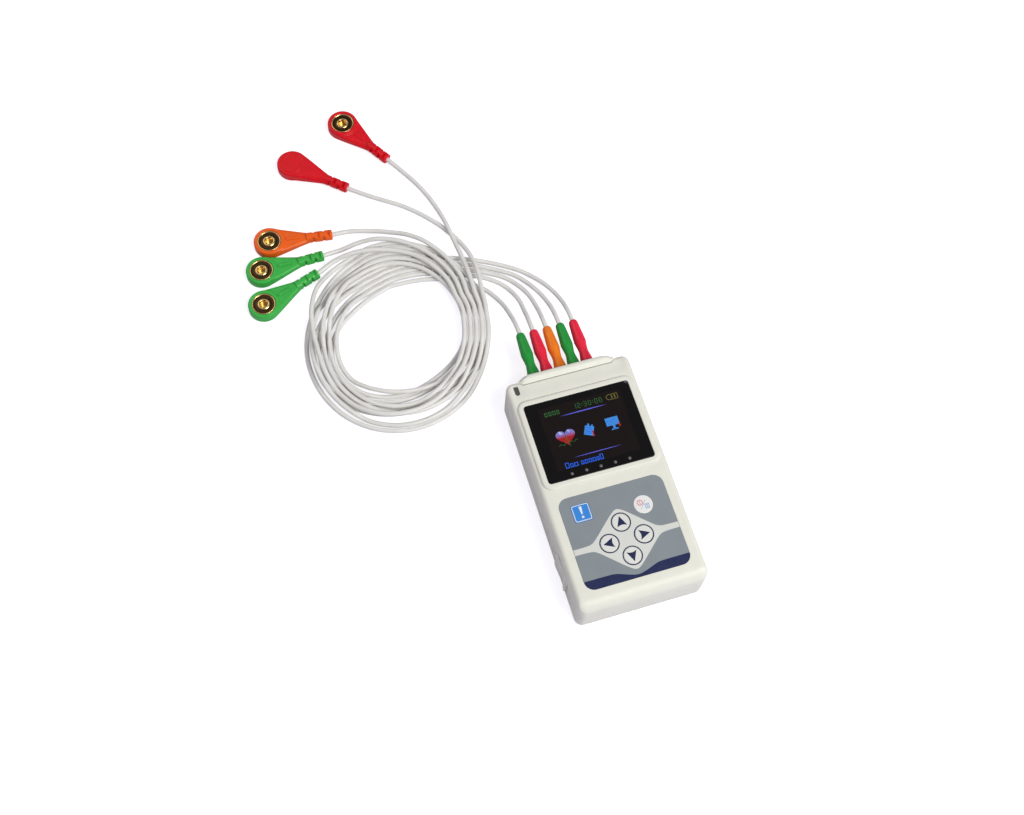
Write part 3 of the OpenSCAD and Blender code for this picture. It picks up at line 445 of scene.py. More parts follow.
@dataclass
class Skin:
    """Sheets of one piece, gathered as arrays and merged where they meet.

    Attributes:
        points: Point arrays of the sheets, in mm.
        faces: Corner indices of their faces.
        marks: Finish index of each face.
        total: Number of points so far.
    """

    points: list[Array] = field(default_factory=list)
    faces: list[Array] = field(default_factory=list)
    marks: list[Array] = field(default_factory=list)
    total: int = 0

    def add(self, points: Array, faces: Array, mark: Array | int = 0) -> None:
        """Takes in points and the faces between them.

        Args:
            points: Points in any number of rows.
            faces: Corner indices of the faces.
            mark: Finish index, one for all or one for each face.
        """
        self.points.append(np.asarray(points, float).reshape(-1, 3))
        self.faces.append(np.asarray(faces, int) + self.total)
        self.marks.append(np.broadcast_to(mark, (len(faces),)).astype(int))
        self.total += len(self.points[-1])

    def grid(self, rows: Array, wrap: bool = True, mark: Array | int = 0) -> None:
        """Sheet over a grid of points; with columns anticlockwise and rows from below up and in, it faces out.

        Args:
            rows: (r, c, 3) points.
            wrap: Whether the last column joins the first.
            mark: Finish index, one for all or one for each face.
        """
        r, c = rows.shape[:2]
        i, j = np.meshgrid(np.arange(r - 1), np.arange(c if wrap else c - 1), indexing="ij")
        k = (j + 1) % c
        quads = np.stack([i * c + j, i * c + k, (i + 1) * c + k, (i + 1) * c + j], -1).reshape(-1, 4)
        self.add(rows, quads, mark)

    def flat(self, loops: Sequence[Array], z: float, up: bool = True, lines: Sequence[Array] = (),
             marker: Callable[[Array], Array] | None = None, mark: int = 0) -> None:
        """Level sheet inside the first loop and outside the others, cut along lines.

        Args:
            loops: Closed outlines, (n, 2) each.
            z: Its height.
            up: Whether it faces up.
            lines: Open lines that no face crosses.
            marker: Gives each face's finish index from its middle.
            mark: Finish index where there is no marker.
        """
        edges, start = [], 0
        for line, closed in [(x, 1) for x in loops] + [(x, 0) for x in lines]:
            n = len(line)
            index = start + np.arange(n if closed else n - 1)
            edges += np.stack([index, start + (index - start + 1) % n], -1).tolist()
            start += n
        flat = np.concatenate([*loops, *lines])
        points, _, faces, *_ = delaunay_2d_cdt([Vector(p) for p in flat], edges, [], 0, 1e-5)
        points, faces = np.array(points), np.array(faces)
        corner = points[faces]
        middle = corner.mean(1)
        keep = inside(middle, loops[0])
        for hole in loops[1:]:
            keep &= ~inside(middle, hole)
        side, other = corner[:, 1] - corner[:, 0], corner[:, 2] - corner[:, 0]
        area = side[:, 0] * other[:, 1] - side[:, 1] * other[:, 0]
        keep &= np.abs(area) > 1e-9
        facing_away = (area > 0) != up
        faces = np.where(facing_away[:, None], faces[:, ::-1], faces)[keep]
        self.add(at_height(points, z), faces, marker(middle[keep]) if marker else mark)

    def slab(self, loops: Sequence[Array], low: float, high: float, mark: int = 0) -> None:
        """Closed level slab between two heights, inside the first loop and outside the others.

        Args:
            loops: Closed outlines, (n, 2) each.
            low: Height of its lower face.
            high: Height of its upper face.
            mark: Finish index.
        """
        self.flat(loops, high, True, mark=mark)
        self.flat(loops, low, False, mark=mark)
        for i, loop in enumerate(loops):
            ends = (low, high) if i == 0 else (high, low)
            self.grid(np.stack([at_height(loop, z) for z in ends]), mark=mark)

    def lathe(self, profile: Array, steps: int = 48, mark: Array | int = 0) -> None:
        """Turned sheet about Z: each row (radius, height) of the profile becomes a circle.

        Args:
            profile: (n, 2) rows, from the lowest middle out, up and in.
            steps: Points in a circle.
            mark: Finish index, one for all or one for each ring of faces.
        """
        angle = np.linspace(0.0, 2 * math.pi, steps, endpoint=False)
        ring = np.stack([np.cos(angle), np.sin(angle), np.zeros(steps)], -1)
        rows = profile[:, None, :1] * ring + profile[:, None, 1:] * np.array([0.0, 0.0, 1.0])
        marks = mark if isinstance(mark, int) else np.repeat(mark, steps)
        self.grid(rows, mark=marks)

    def moved(self, matrix: Array, shift: Sequence[float], start: int = 0) -> None:
        """Turns the sheets from index start by a 3 by 3 matrix and then shifts them."""
        self.points[start:] = [p @ np.asarray(matrix).T + np.asarray(shift) for p in self.points[start:]]

    def piece(self, name: str, finishes: Sequence[Finish], body: str = "case", sharp: float = 32.0,
              slot: str | None = None, replaces: Sequence[str] = (), weighted: bool = True) -> bpy.types.Object:
        """Makes one smooth-shaded object of the sheets.

        Args:
            name: Name of the piece.
            finishes: Its finishes, in the order of the face marks.
            body: Body that it rides on.
            sharp: Angle in degrees from which an edge stays sharp.
            slot: Material slot of the record; not used.
            replaces: CAD nodes that it stands for.
            weighted: Whether large faces lead the shading.

        Returns:
            The finished piece.
        """
        mesh = bpy.data.meshes.new(name)
        points = np.concatenate(self.points) * MM
        corners = np.concatenate([f.ravel() for f in self.faces])
        sizes = np.concatenate([np.full(len(f), f.shape[1]) for f in self.faces])
        mesh.vertices.add(len(points))
        mesh.vertices.foreach_set("co", points.astype(np.float32).ravel())
        mesh.loops.add(len(corners))
        mesh.loops.foreach_set("vertex_index", corners.astype(np.int32))
        mesh.polygons.add(len(sizes))
        mesh.polygons.foreach_set("loop_start", np.concatenate([[0], np.cumsum(sizes)[:-1]]).astype(np.int32))
        mesh.polygons.foreach_set("material_index", np.concatenate(self.marks).astype(np.int32))
        mesh.update(calc_edges=True)
        smoothed(mesh, sharp, slivers=True)
        return placed(mesh, name, finishes, body, replaces, weighted)


def placed(mesh: bpy.types.Mesh, name: str, finishes: Sequence[Finish], body: str,
           replaces: Sequence[str], weighted: bool) -> bpy.types.Object:
    """Makes a mesh a piece that rides on a body, with its finishes.

    Args:
        mesh: Its mesh, in metres.
        name: Name of the piece.
        finishes: Its finishes.
        body: Body that it rides on.
        replaces: CAD nodes that it stands for.
        weighted: Whether large faces lead the shading.

    Returns:
        The object.
    """
    piece = linked(name, mesh)
    for finish in finishes:
        mesh.materials.append(dressed(finish))
    if weighted:
        normals = piece.modifiers.new("large_faces_lead", "WEIGHTED_NORMAL")
        normals.keep_sharp = True
    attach(piece, body)
    if replaces:
        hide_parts(*replaces)
    LOG.info("%s: %d faces", name, len(mesh.polygons))
    return piece


def merged_copy(node: str, name: str, finish: Finish, body: str = "case",
                sharp: float = 28.0) -> bpy.types.Object:
    """Stands a smooth-shaded, merged copy of a CAD node in for it.

    Args:
        node: CAD node.
        name: Name of the copy.
        finish: Its finish.
        body: Body that it rides on.
        sharp: Angle in degrees from which an edge stays sharp.

    Returns:
        The copy.
    """
    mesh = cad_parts[node].data.copy()
    mesh.name = name
    smoothed(mesh, sharp, slivers=False)
    mesh.materials.clear()
    mesh.polygons.foreach_set("material_index", np.zeros(len(mesh.polygons), np.int32))
    return placed(mesh, name, [finish], body, [node], True)


# The view


@dataclass
class Studio:
    """Camera of the photograph, floor, sky and soft lamps.

    Attributes:
        eye: Place of the camera in mm.
        right: The camera's right.
        up: The camera's up.
        lens: Focal length in mm.
        sensor: Width of the camera's sensor in mm.
        lamps: Name, place in mm and power in watts of each lamp.
        aim: Where the lamps point.
        lamp_size: Side of the lamps in mm.
        lamp_rgb: Linear colour of their light.
        floor_half: Half of the floor's side in mm.
        floor_z: Height of the floor.
        floor_rgb: Linear colour of the floor.
        floor_glow: What the floor adds for the camera, near the object and far from it.
        floor_reach: Distances from the origin, in metres, between which that changes.
        sky_rgb: Linear colour of the sky's light.
        sky_strength: Its strength.
    """

    eye: Triple = (-139.31, -215.18, 642.155)
    right: Triple = (0.95469, -0.29450, 0.04280)
    up: Triple = (0.25139, 0.87507, 0.41359)
    lens: float = 50.0
    sensor: float = 36.0
    lamps: tuple[tuple[str, Triple, float], ...] = (("key_lamp", (440.0, -520.0, 900.0), 10.5),
                                                    ("fill_lamp", (-500.0, 800.0, 900.0), 2.5))
    aim: Triple = (-40.0, 70.0, 0.0)
    lamp_size: float = 700.0
    lamp_rgb: Triple = (0.995, 1.0, 0.963)
    floor_half: float = 4000.0
    floor_z: float = -0.02
    floor_rgb: Triple = (0.76, 0.75, 0.84)
    floor_glow: tuple[float, float] = (0.66, 1.0)
    floor_reach: tuple[float, float] = (0.4, 1.0)
    sky_rgb: Triple = (0.93, 0.885, 1.0)
    sky_strength: float = 0.272

    def camera(self) -> None:
        """Stands the camera where the photograph was taken from."""
        data = bpy.data.cameras.new("photo_camera")
        data.lens, data.sensor_width, data.sensor_fit = self.lens, self.sensor, "HORIZONTAL"
        data.clip_start, data.clip_end = 0.01, 50.0
        camera = linked("photo_camera", data)
        right, up = Vector(self.right).normalized(), Vector(self.up)
        up = (up - up.dot(right) * right).normalized()
        turn = Matrix((right, up, right.cross(up))).transposed().to_4x4()
        camera.matrix_world = Matrix.Translation(Vector(self.eye) * MM) @ turn
        bpy.context.scene.camera = camera

    def lamp(self, name: str, place: Triple, power: float) -> None:
        """Square soft lamp aimed at the object's middle.

        Args:
            name: Name of the lamp.
            place: Where it hangs, in mm.
            power: Its power in watts.
        """
        data = bpy.data.lights.new(name, "AREA")
        data.shape, data.size, data.energy, data.color = "SQUARE", self.lamp_size * MM, power, self.lamp_rgb
        lamp = linked(name, data)
        here, there = Vector(place) * MM, Vector(self.aim) * MM
        lamp.matrix_world = Matrix.Translation(here) @ (there - here).to_track_quat("-Z", "Y").to_matrix().to_4x4()

    def floor(self) -> None:
        """Pale matt floor, which glows for the camera so that it shows white but keeps the shadow."""
        square = np.array([[-1, -1], [1, -1], [1, 1], [-1, 1]]) * self.floor_half
        mesh = bpy.data.meshes.new("floor")
        mesh.from_pydata((at_height(square, self.floor_z) * MM).tolist(), [], [[0, 1, 2, 3]])
        plane = linked("floor", mesh)
        material = bpy.data.materials.new("floor_white")
        material.use_nodes = True
        nodes, links = material.node_tree.nodes, material.node_tree.links
        nodes.remove(nodes["Principled BSDF"])
        matt, lit = nodes.new("ShaderNodeBsdfDiffuse"), nodes.new("ShaderNodeEmission")
        matt.inputs["Color"].default_value = (*self.floor_rgb, 1.0)
        path, total = nodes.new("ShaderNodeLightPath"), nodes.new("ShaderNodeAddShader")
        place, away = nodes.new("ShaderNodeNewGeometry"), nodes.new("ShaderNodeVectorMath")
        share, glow = nodes.new("ShaderNodeMapRange"), nodes.new("ShaderNodeMath")
        away.operation, glow.operation = "LENGTH", "MULTIPLY"
        preset(share, {"From Min": self.floor_reach[0], "From Max": self.floor_reach[1],
                       "To Min": self.floor_glow[0], "To Max": self.floor_glow[1]})
        links.new(place.outputs["Position"], away.inputs[0])
        links.new(away.outputs["Value"], share.inputs["Value"])
        links.new(share.outputs["Result"], glow.inputs[1])
        links.new(path.outputs["Is Camera Ray"], glow.inputs[0])
        links.new(glow.outputs[0], lit.inputs["Strength"])
        links.new(matt.outputs[0], total.inputs[0])
        links.new(lit.outputs[0], total.inputs[1])
        links.new(total.outputs[0], nodes["Material Output"].inputs["Surface"])
        mesh.materials.append(material)

    def sky(self) -> None:
        """Even pale light all round, which the camera sees white, also through clear pieces."""
        world = bpy.data.worlds.new("studio")
        bpy.context.scene.world = world
        world.use_nodes = True
        nodes, links = world.node_tree.nodes, world.node_tree.links
        ground = nodes["Background"]
        path, colour = nodes.new("ShaderNodeLightPath"), nodes.new("ShaderNodeMix")
        colour.data_type = "RGBA"
        colour.inputs[MIX_FIRST].default_value = (*self.sky_rgb, 1.0)
        colour.inputs[MIX_SECOND].default_value = (1.0, 1.0, 1.0, 1.0)
        seen, strength = nodes.new("ShaderNodeMath"), nodes.new("ShaderNodeMapRange")
        seen.operation = "MAXIMUM"
        links.new(path.outputs["Is Camera Ray"], seen.inputs[0])
        links.new(path.outputs["Is Transmission Ray"], seen.inputs[1])
        links.new(seen.outputs[0], strength.inputs["Value"])
        preset(strength, {"To Min": self.sky_strength, "To Max": 1.0})
        links.new(strength.outputs["Result"], ground.inputs["Strength"])
        links.new(seen.outputs[0], colour.inputs[MIX_FACTOR])
        links.new(colour.outputs[MIX_RESULT], ground.inputs["Color"])

    def build(self) -> None:
        """Makes all of it."""
        bpy.context.scene.view_settings.view_transform = "Standard"
        self.camera()
        self.floor()
        self.sky()
        for name, place, power in self.lamps:
            self.lamp(name, place, power)


# Leads


@dataclass
class Leads:
    """Five plugs, their cords wound together, and the snap heads at their ends.

    Attributes:
        pitch: Distance between plugs.
        plug_y: Where a plug's flange starts.
        plug_z: Height of the plugs.
        plug_l: Length of a plug outside its socket.
        cord_d: Diameter of a cord.
        cord_gap: Room between cords that lie side by side.
        coil: Middle of the coil.
        waves: Middle lane's radius in each turn: its mean, then its cosine and sine once and twice a turn.
        ring_n: Samples in a turn.
        first: First sample of the coil.
        split: Sample at which the second layer starts.
        last: Last sample.
        lift_z: Height of the coil's upper end.
        lanes: Lane of each lead, inside first, after each change.
        changes: Turns at which each change starts and ends.
        laid: Order in which the leads are laid.
        snaps: Middle and heading of each snap head.
        flipped: The lead whose snap lies socket down.
        snap_r: Radius of a snap head.
        snap_h: Height of a snap head.
        snap_l: Length from a snap head's middle to the end of its relief.
        neck_l: Length from a snap head's middle to the end of its neck.
        neck_r: Radius of the neck and the strain relief.
        finishes: Finish of each snap head.
        plug_finishes: Finish of each plug.
        slots: Material slot of each lead.
        plug_runs: Free stretch of each cord from its plug to the coil.
        snap_runs: Free stretch of each cord from the coil to its snap head.
        at_ends: Pieces at the ends of each cord.
    """

    pitch: float = 6.9
    plug_y: float = 60.1
    plug_z: float = 14.0
    plug_l: float = 27.3
    cord_d: float = 2.4
    cord_gap: float = 0.55
    coil: tuple[float, float] = (-71.0, 109.0)
    waves: tuple[tuple[float, ...], ...] = ((37.0, 2.0, -1.0, 2.2, 2.4), (43.2, -0.1, 0.6, -2.7, 1.8))
    ring_n: int = 24
    first: int = 6
    split: int = 28
    last: int = 48
    lift_z: float = 7.25
    lanes: tuple[tuple[int, ...], ...] = ((0, 1, 2, 3, 4), (1, 0, 2, 4, 3), (0, 2, 1, 4, 3), (0, 3, 1, 2, 4),
                                          (0, 3, 2, 1, 4))
    changes: tuple[tuple[float, float], ...] = ((0.34, 0.52), (0.62, 0.9), (1.34, 1.52), (1.64, 1.86))
    laid: tuple[int, ...] = (0, 2, 4, 1, 3)
    snaps: tuple[Triple, ...] = ((-131.5, 143.5, 20.0), (-66.0, 240.0, -57.5), (-120.5, 178.8, -6.5),
                                 (-128.2, 163.0, 2.0), (-98.0, 222.0, -41.0))
    flipped: int = 4
    snap_r: float = 8.0
    snap_h: float = 5.4
    snap_l: float = 32.5
    neck_l: float = 20.2
    neck_r: float = 2.7
    finishes: tuple[Finish, ...] = (GREEN, RED, ORANGE, GREEN, RED)
    plug_finishes: tuple[Finish, ...] = (PLUG_GREEN, PLUG_RED, PLUG_ORANGE, PLUG_GREEN, PLUG_RED)
    slots: tuple[str, ...] = ("green", "red", "orange", "green", "red")
    plug_runs: tuple[tuple[Triple, ...], ...] = (
        ((-13.8, 92, 13.2), (-14, 101, 9), (-15.5, 112, 4), (-20, 122, 1.3), (-28, 129, 1.25), (-38, 134.2, 1.25),
         (-49, 137, 1.25), (-60, 138, 1.25)),
        ((-6.9, 92, 13.2), (-6.5, 102, 8.5), (-6.8, 112, 4.5), (-10.5, 122, 1.6), (-18, 129, 1.25),
         (-28, 134, 1.25), (-40, 138.5, 1.25), (-54, 141.2, 1.25)),
        ((0, 92, 13.2), (0.2, 103, 8), (-1.5, 115, 3.6), (-7, 125, 1.35), (-16, 131.6, 1.25), (-28, 137.3, 1.25),
         (-41, 141.9, 1.25), (-55, 144.4, 1.25)),
        ((6.9, 92, 13.2), (6.6, 103, 8.4), (3.8, 114, 4.6), (-2.4, 125.4, 1.7), (-13, 133.3, 1.25),
         (-27, 140.3, 1.25), (-41, 145.2, 1.25), (-55, 147.5, 1.25)),
        ((13.8, 92, 13.2), (13.2, 104, 8), (9.6, 115.5, 4.2), (2, 126.6, 1.6), (-10, 135.4, 1.25),
         (-25, 142.8, 1.25), (-40, 148.2, 1.25), (-55, 150.8, 1.25)))
    snap_runs: tuple[tuple[Triple, ...], ...] = (
        ((-37, 119, 7.2), (-38.5, 130, 7.6), (-43.5, 140.5, 7.6), (-51, 149, 7.6), (-61, 154.8, 7.6),
         (-71, 157.8, 7.6), (-81, 159.2, 6.6), (-91, 158.6, 4)),
        ((-27.2, 120, 7.2), (-27.2, 131, 7.6), (-27.6, 141, 6), (-28.3, 151, 4.8), (-29.6, 164, 4.4),
         (-31.7, 178, 2), (-35.4, 190, 1.25), (-41, 201, 1.4)),
        ((-31, 120, 7.2), (-31.5, 131, 7.6), (-35.8, 143.5, 7.6), (-42.5, 154, 7.6), (-50.5, 162.7, 5.4),
         (-60, 169.2, 2.2), (-70, 173.2, 1.25), (-79.5, 175.2, 1.6)),
        ((-34, 120, 7.2), (-35, 130.5, 7.6), (-39.6, 142, 7.6), (-46.8, 151.6, 7.6), (-56, 159, 7.6),
         (-66.5, 163.6, 7.2), (-76.5, 165.6, 4.4), (-86.5, 165.2, 2)),
        ((-23.5, 120, 7.4), (-22.4, 131, 6.8), (-23, 143, 4.8), (-25.4, 153, 2.4), (-30, 162.4, 1.25),
         (-37.5, 172.5, 1.25), (-47.5, 182.4, 1.25), (-60.5, 191.5, 1.4)))
    at_ends: list[list[bpy.types.Object]] = field(default_factory=list)

    def radius(self, lead: int, turn: Array) -> Array:
        """Distance of a lead from the coil's middle at each turn count.

        The middle lane runs on a circle with small waves once and twice a turn, with its own set in each of the
        two turns. A lead keeps its lane's distance from it and eases over to the next lane at each change.

        Args:
            lead: Number of the lead, from 0.
            turn: Turns run so far.

        Returns:
            Radii in mm.
        """
        a = 2 * math.pi * turn
        one, two = (mean + c1 * np.cos(a) + s1 * np.sin(a) + c2 * np.cos(2 * a) + s2 * np.sin(2 * a)
                    for mean, c1, s1, c2, s2 in self.waves)
        share = ease((turn - 0.8) / 0.42)
        lane = self.lanes[0][lead] - 2.0 + sum(
            (self.lanes[c + 1][lead] - self.lanes[c][lead]) * ease((turn - start) / (end - start))
            for c, (start, end) in enumerate(self.changes))
        return one * (1 - share) + two * share + lane * (self.cord_d + self.cord_gap) * 1.02

    def least_height(self, turn: Array) -> Array:
        """Lowest a lead may lie: on the table, over the plug cords in the second turn, and up at the coil's end.

        Args:
            turn: Turns run so far.

        Returns:
            Heights in mm.
        """
        lay, rest = self.cord_d + self.cord_gap, self.cord_d / 2 + 0.05
        # Angle in degrees round the coil, from -60 on, and the arc on which it runs over the plug cords
        a = 360 * (turn - np.floor(turn))
        a = np.where(a > 300, a - 360, a)
        over = np.where(turn > 0.9, ease((a + 8) / 24) * (1 - ease((a - 85) / 26)), 0.0)
        return np.maximum(rest + (lay + 0.1) * over, rest + (self.lift_z - rest) * ease((turn - 1.86) / 0.12))

    def heights(self) -> list[Array]:
        """Lays the leads one by one: each rests on what lies there, or on the table.

        Where a laid strand is nearer across than one cord and its room, the new one is lifted by the root of that
        distance squared less the distance across squared.

        Returns:
            Height of each lead at each sample of the coil.
        """
        lay = self.cord_d + self.cord_gap
        every = np.arange(self.first, self.last + 1)
        strands: list[tuple[int, int, Array]] = []
        for start, end in ((self.first, self.split), (self.split, self.last)):
            for lead in self.laid:
                i = np.arange(start, end + 1)
                z = self.least_height(i / self.ring_n)
                for other, low, heights in strands:
                    for back in (0, self.ring_n):
                        if other == lead and back == 0:
                            continue
                        j = i[:, None] - back + np.array([-1, 0, 1])
                        there = (j >= low) & (j < low + len(heights))
                        apart = self.radius(lead, (j + back) / self.ring_n) - self.radius(other, j / self.ring_n)
                        far = np.where(there, np.abs(apart), 99.0).min(1)
                        cross = (np.where(there, apart, 99.0).min(1) * np.where(there, apart, -99.0).max(1)) < 0
                        near = np.where(there.any(1) & cross, 0.0, far)
                        under = np.where(there, heights[np.clip(j - low, 0, len(heights) - 1)], -99.0).max(1)
                        lift = under + np.sqrt(np.maximum(lay * lay - near * near, 0.0))
                        z = np.where(near < lay, np.maximum(z, lift), z)
                strands.append((lead, start, z))
        half = len(self.laid)
        found = {lead: z[:-1] for lead, _, z in strands[:half]}
        return [np.concatenate([found[k], next(z for lead, _, z in strands[half:] if lead == k)])[:len(every)]
                for k in range(len(self.laid))]

    def snap_turn(self, lead: int) -> tuple[Array, Array]:
        """Turn and shift that stand a snap head in its place, upside down for the flipped one.

        Args:
            lead: Number of the lead, from 0.

        Returns:
            A 3 by 3 matrix and a shift in mm.
        """
        x, y, heading = self.snaps[lead]
        c, s = math.cos(math.radians(heading)), math.sin(math.radians(heading))
        turn = np.array([[c, -s, 0.0], [s, c, 0.0], [0.0, 0.0, 1.0]])
        if lead == self.flipped:
            return turn @ np.diag([1.0, -1.0, -1.0]), np.array([x, y, self.snap_h])
        return turn, np.array([x, y, 0.0])

    def route(self, lead: int, heights: Array) -> Array:
        """Points of a whole cord: plug, free stretch, coil with level ends, free stretch, snap head.

        Args:
            lead: Number of the lead, from 0.
            heights: Its heights in the coil.

        Returns:
            (n, 3) points in mm.
        """
        i = np.arange(self.first, self.last + 1)
        r, a = self.radius(lead, i / self.ring_n), 2 * math.pi * i / self.ring_n
        coil = np.stack([self.coil[0] + r * np.cos(a), self.coil[1] + r * np.sin(a), heights], -1)
        ends = []
        for here, there in ((coil[0], coil[1]), (coil[-1], coil[-2])):
            way = (here - there) * np.array([1.0, 1.0, 0.0])
            ends.append(here + self.cord_d * way / np.linalg.norm(way))
        start = np.array([[self.plug_x(lead), self.plug_y + self.plug_l - 1.5, self.plug_z],
                          [self.plug_x(lead), self.plug_y + self.plug_l, self.plug_z]])
        turn, shift = self.snap_turn(lead)
        snap = np.array([[self.snap_l, 0.0, self.snap_h / 2], [self.snap_l - 2.0, 0.0, self.snap_h / 2]])
        return np.concatenate([start, self.plug_runs[lead], [ends[0]], coil, [ends[1]], self.snap_runs[lead],
                               snap @ turn.T + shift])

    def plug_x(self, lead: int) -> float:
        """Place of a lead's plug across the case."""
        return (lead - 2) * self.pitch

    def cord(self, lead: int, heights: Array) -> bpy.types.Object:
        """One cord: a smooth curve through its route's points.

        A point's tangent is the mean of the two chords' directions, each weighted by the other's length, and its
        upward part is their harmonic mean, so that the cord never dips below the points it runs through.

        Args:
            lead: Number of the lead, from 0.
            heights: Its heights in the coil.

        Returns:
            The cord.
        """
        points = self.route(lead, heights)
        chord = np.diff(points, axis=0)
        size = np.linalg.norm(chord, axis=1, keepdims=True)
        way = chord / size
        inner = (way[:-1] * size[1:] + way[1:] * size[:-1]) / (size[:-1] + size[1:])
        low, high = way[:-1, 2], way[1:, 2]
        same = low * high > 0
        inner[:, 2] = np.where(same, 2 * low * high / np.where(same, low + high, 1.0), 0.0)
        tangent = np.concatenate([way[:1], inner, way[-1:]])
        before = np.concatenate([size[:1], size]) / 3
        after = np.concatenate([size, size[-1:]]) / 3
        curve = bpy.data.curves.new(f"cord_{lead + 1}", "CURVE")
        curve.dimensions, curve.bevel_depth, curve.bevel_resolution = "3D", self.cord_d / 2 * MM, 4
        curve.resolution_u, curve.use_fill_caps = 8, True
        spline = curve.splines.new("BEZIER")
        spline.bezier_points.add(len(points) - 1)
        for name, values in (("co", points), ("handle_left", points - tangent * before),
                             ("handle_right", points + tangent * after)):
            spline.bezier_points.foreach_set(name, (values * MM).astype(np.float32).ravel())
        cord = linked(f"cord_{lead + 1}", curve)
        curve.materials.append(dressed(JACKET))
        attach(cord, "case")
        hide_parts(f"cord_{lead + 1}_ends", f"cord_{lead + 1}_coil")
        return cord

    def plug(self, lead: int) -> bpy.types.Object:
        """One plug, turned from a profile of radii and distances from its flange.

        Args:
            lead: Number of the lead, from 0.

        Returns:
            The plug.
        """
        end = self.plug_l
        in_socket = [[0.0, -10.2], [1.3, -10.2], [1.9, -10.2], [2.1, -10.0], [2.1, -0.05]]
        flange = [[2.86, 0.0], [3.02, 0.12], [3.12, 0.4], [3.13, 1.2], [3.12, 3.8], [3.06, 4.8], [2.92, 5.8]]
        waist = [[2.66, 7.2], [2.42, 8.6], [2.34, 9.4], [2.36, 10.2], [2.46, 11.2], [2.62, 12.4], [2.82, 13.7]]
        grip = [[2.98, 14.7], [3.05, 15.2], [3.05, 15.6], [2.98, 16.2], [2.84, 18.4], [2.62, 21.6], [2.4, 24.6]]
        tail = [[2.3, 25.7], [2.12, 26.5], [1.85, 27.0], [1.5, 27.25], [1.2, end], [0.0, end]]
        skin = Skin()
        skin.lathe(np.array([*in_socket, *flange, *waist, *grip, *tail]), 48)
        along_y = np.array([[1.0, 0.0, 0.0], [0.0, 0.0, 1.0], [0.0, -1.0, 0.0]])
        skin.moved(along_y, (self.plug_x(lead), self.plug_y, self.plug_z))
        return skin.piece(f"plug_{lead + 1}_body", [self.plug_finishes[lead]], slot=self.slots[lead],
                          replaces=[f"plug_{lead + 1}"], sharp=50)

    def snap(self, lead: int) -> bpy.types.Object:
        """One snap head with its neck and strain relief.

        The outline is the hull of the head's circle and a small circle at the neck's end. Its edge is rounded by an
        arc whose radius grows from the rim's to half the height along the neck, and the top runs from there to the
        seat's rim, with a step down where the neck leaves the round head. The relief is a tube whose slots cut its
        circle off level, by turns on the sides and above.

        Args:
            lead: Number of the lead, from 0.

        Returns:
            The snap head.
        """
        big, small, neck, high, seat = self.snap_r, self.neck_r, self.neck_l, self.snap_h, 6.12
        # Outline: the head, the right side, the end and the left side, with a normal for each point
        lean = math.asin((big - small) / neck)
        head_n, side_n, end_n = 73, 13, 17
        head = np.linspace(math.pi / 2 - lean, 3 * math.pi / 2 + lean, head_n)
        end = np.linspace(-math.pi / 2 + lean, math.pi / 2 - lean, end_n)
        way = np.concatenate([head, np.full(side_n, head[-1]), end, np.full(side_n, head[0])])
        normal = np.stack([np.cos(way), np.sin(way)], -1)
        round_head, right, round_end, left = np.split(normal, np.cumsum([head_n, side_n, end_n]))
        share = np.linspace(0.0, 1.0, side_n + 2)[1:-1, None]
        tip = np.array([[neck, 0.0]])
        outline = np.concatenate([big * round_head, big * right * (1 - share) + (tip + small * right) * share,
                                  tip + small * round_end, (tip + small * left) * (1 - share) + big * left * share])
        # Rounded edge, from the underside up
        radius = 1.0 + (small - 1.0) * ease((outline[:, 0] - 3.0) / (neck - 3.0))
        arc = np.radians(np.linspace(-90, 90, 15))[:, None]
        inset = radius * (1 - np.cos(arc))
        z = high / 2 + np.sign(arc) * (high / 2 - radius) + radius * np.sin(arc)
        sides = np.concatenate([outline - normal * inset[..., None], z[..., None]], -1)
        # Top, in to the seat's rim, and the dish for the metal
        polar = np.arctan2(sides[-1, :, 1], sides[-1, :, 0])
        rim = np.stack([np.cos(polar), np.sin(polar)], -1)
        far = np.linalg.norm(sides[-1, :, :2], axis=1)
        rings = (12.0, 9.0, 8.7, 8.5, 8.3, 8.1, 7.9, 7.7, 7.5, 7.2, seat + 0.35)
        top = np.stack([at_height(rim * np.minimum(far, r)[:, None], high) for r in rings])
        bowl = ((seat + 0.12, high - 0.06), (seat, high - 0.2), (seat, high - 0.7), (2.95, high - 0.7),
                (2.95, high - 4.2), (0.0, high - 4.2))
        dish = np.stack([at_height(rim * r, h) for r, h in bowl])
        floor = np.stack([at_height(sides[0, :, :2] * r, 0.0) for r in (0.0, 0.5)])
        rows = np.concatenate([floor, sides, top, dish])
        # The neck is lower than the round head
        fall = 1 - 0.36 * ease((np.linalg.norm(rows[..., :2], axis=-1) - 7.6) / 0.9)
        rows[..., 2] = np.where(rows[..., 2] > high / 2, high / 2 + (rows[..., 2] - high / 2) * fall, rows[..., 2])
        skin = Skin()
        skin.grid(rows)
        if lead == self.flipped:
            bead = [[5.0, -0.02], [5.15, 0.0], [5.3, -0.12], [5.55, -0.16], [5.8, -0.12], [5.95, 0.0], [6.1, -0.02]]
            skin.lathe(np.array(bead[::-1]))
        self.relief(skin)
        rib_l, rib_w, rib_at = 7.6, 1.7, np.array([12.4, 0.0])
        rib, _ = rounded_loop(rib_l, rib_w, 0.8, tuple(rib_at), run=6)
        skin.grid(np.stack([at_height(rib_at + (rib - rib_at) * grow, high - 1.0 + rise)
                            for grow, rise in ((1.0, -0.6), (1.0, 0.3), (0.95, 0.5), (0.8, 0.6), (0.0, 0.62))]))
        skin.moved(*self.snap_turn(lead))
        return skin.piece(f"snap_{lead + 1}_head", [self.finishes[lead]], slot=self.slots[lead],
                          replaces=[f"snap_{lead + 1}"], sharp=40)

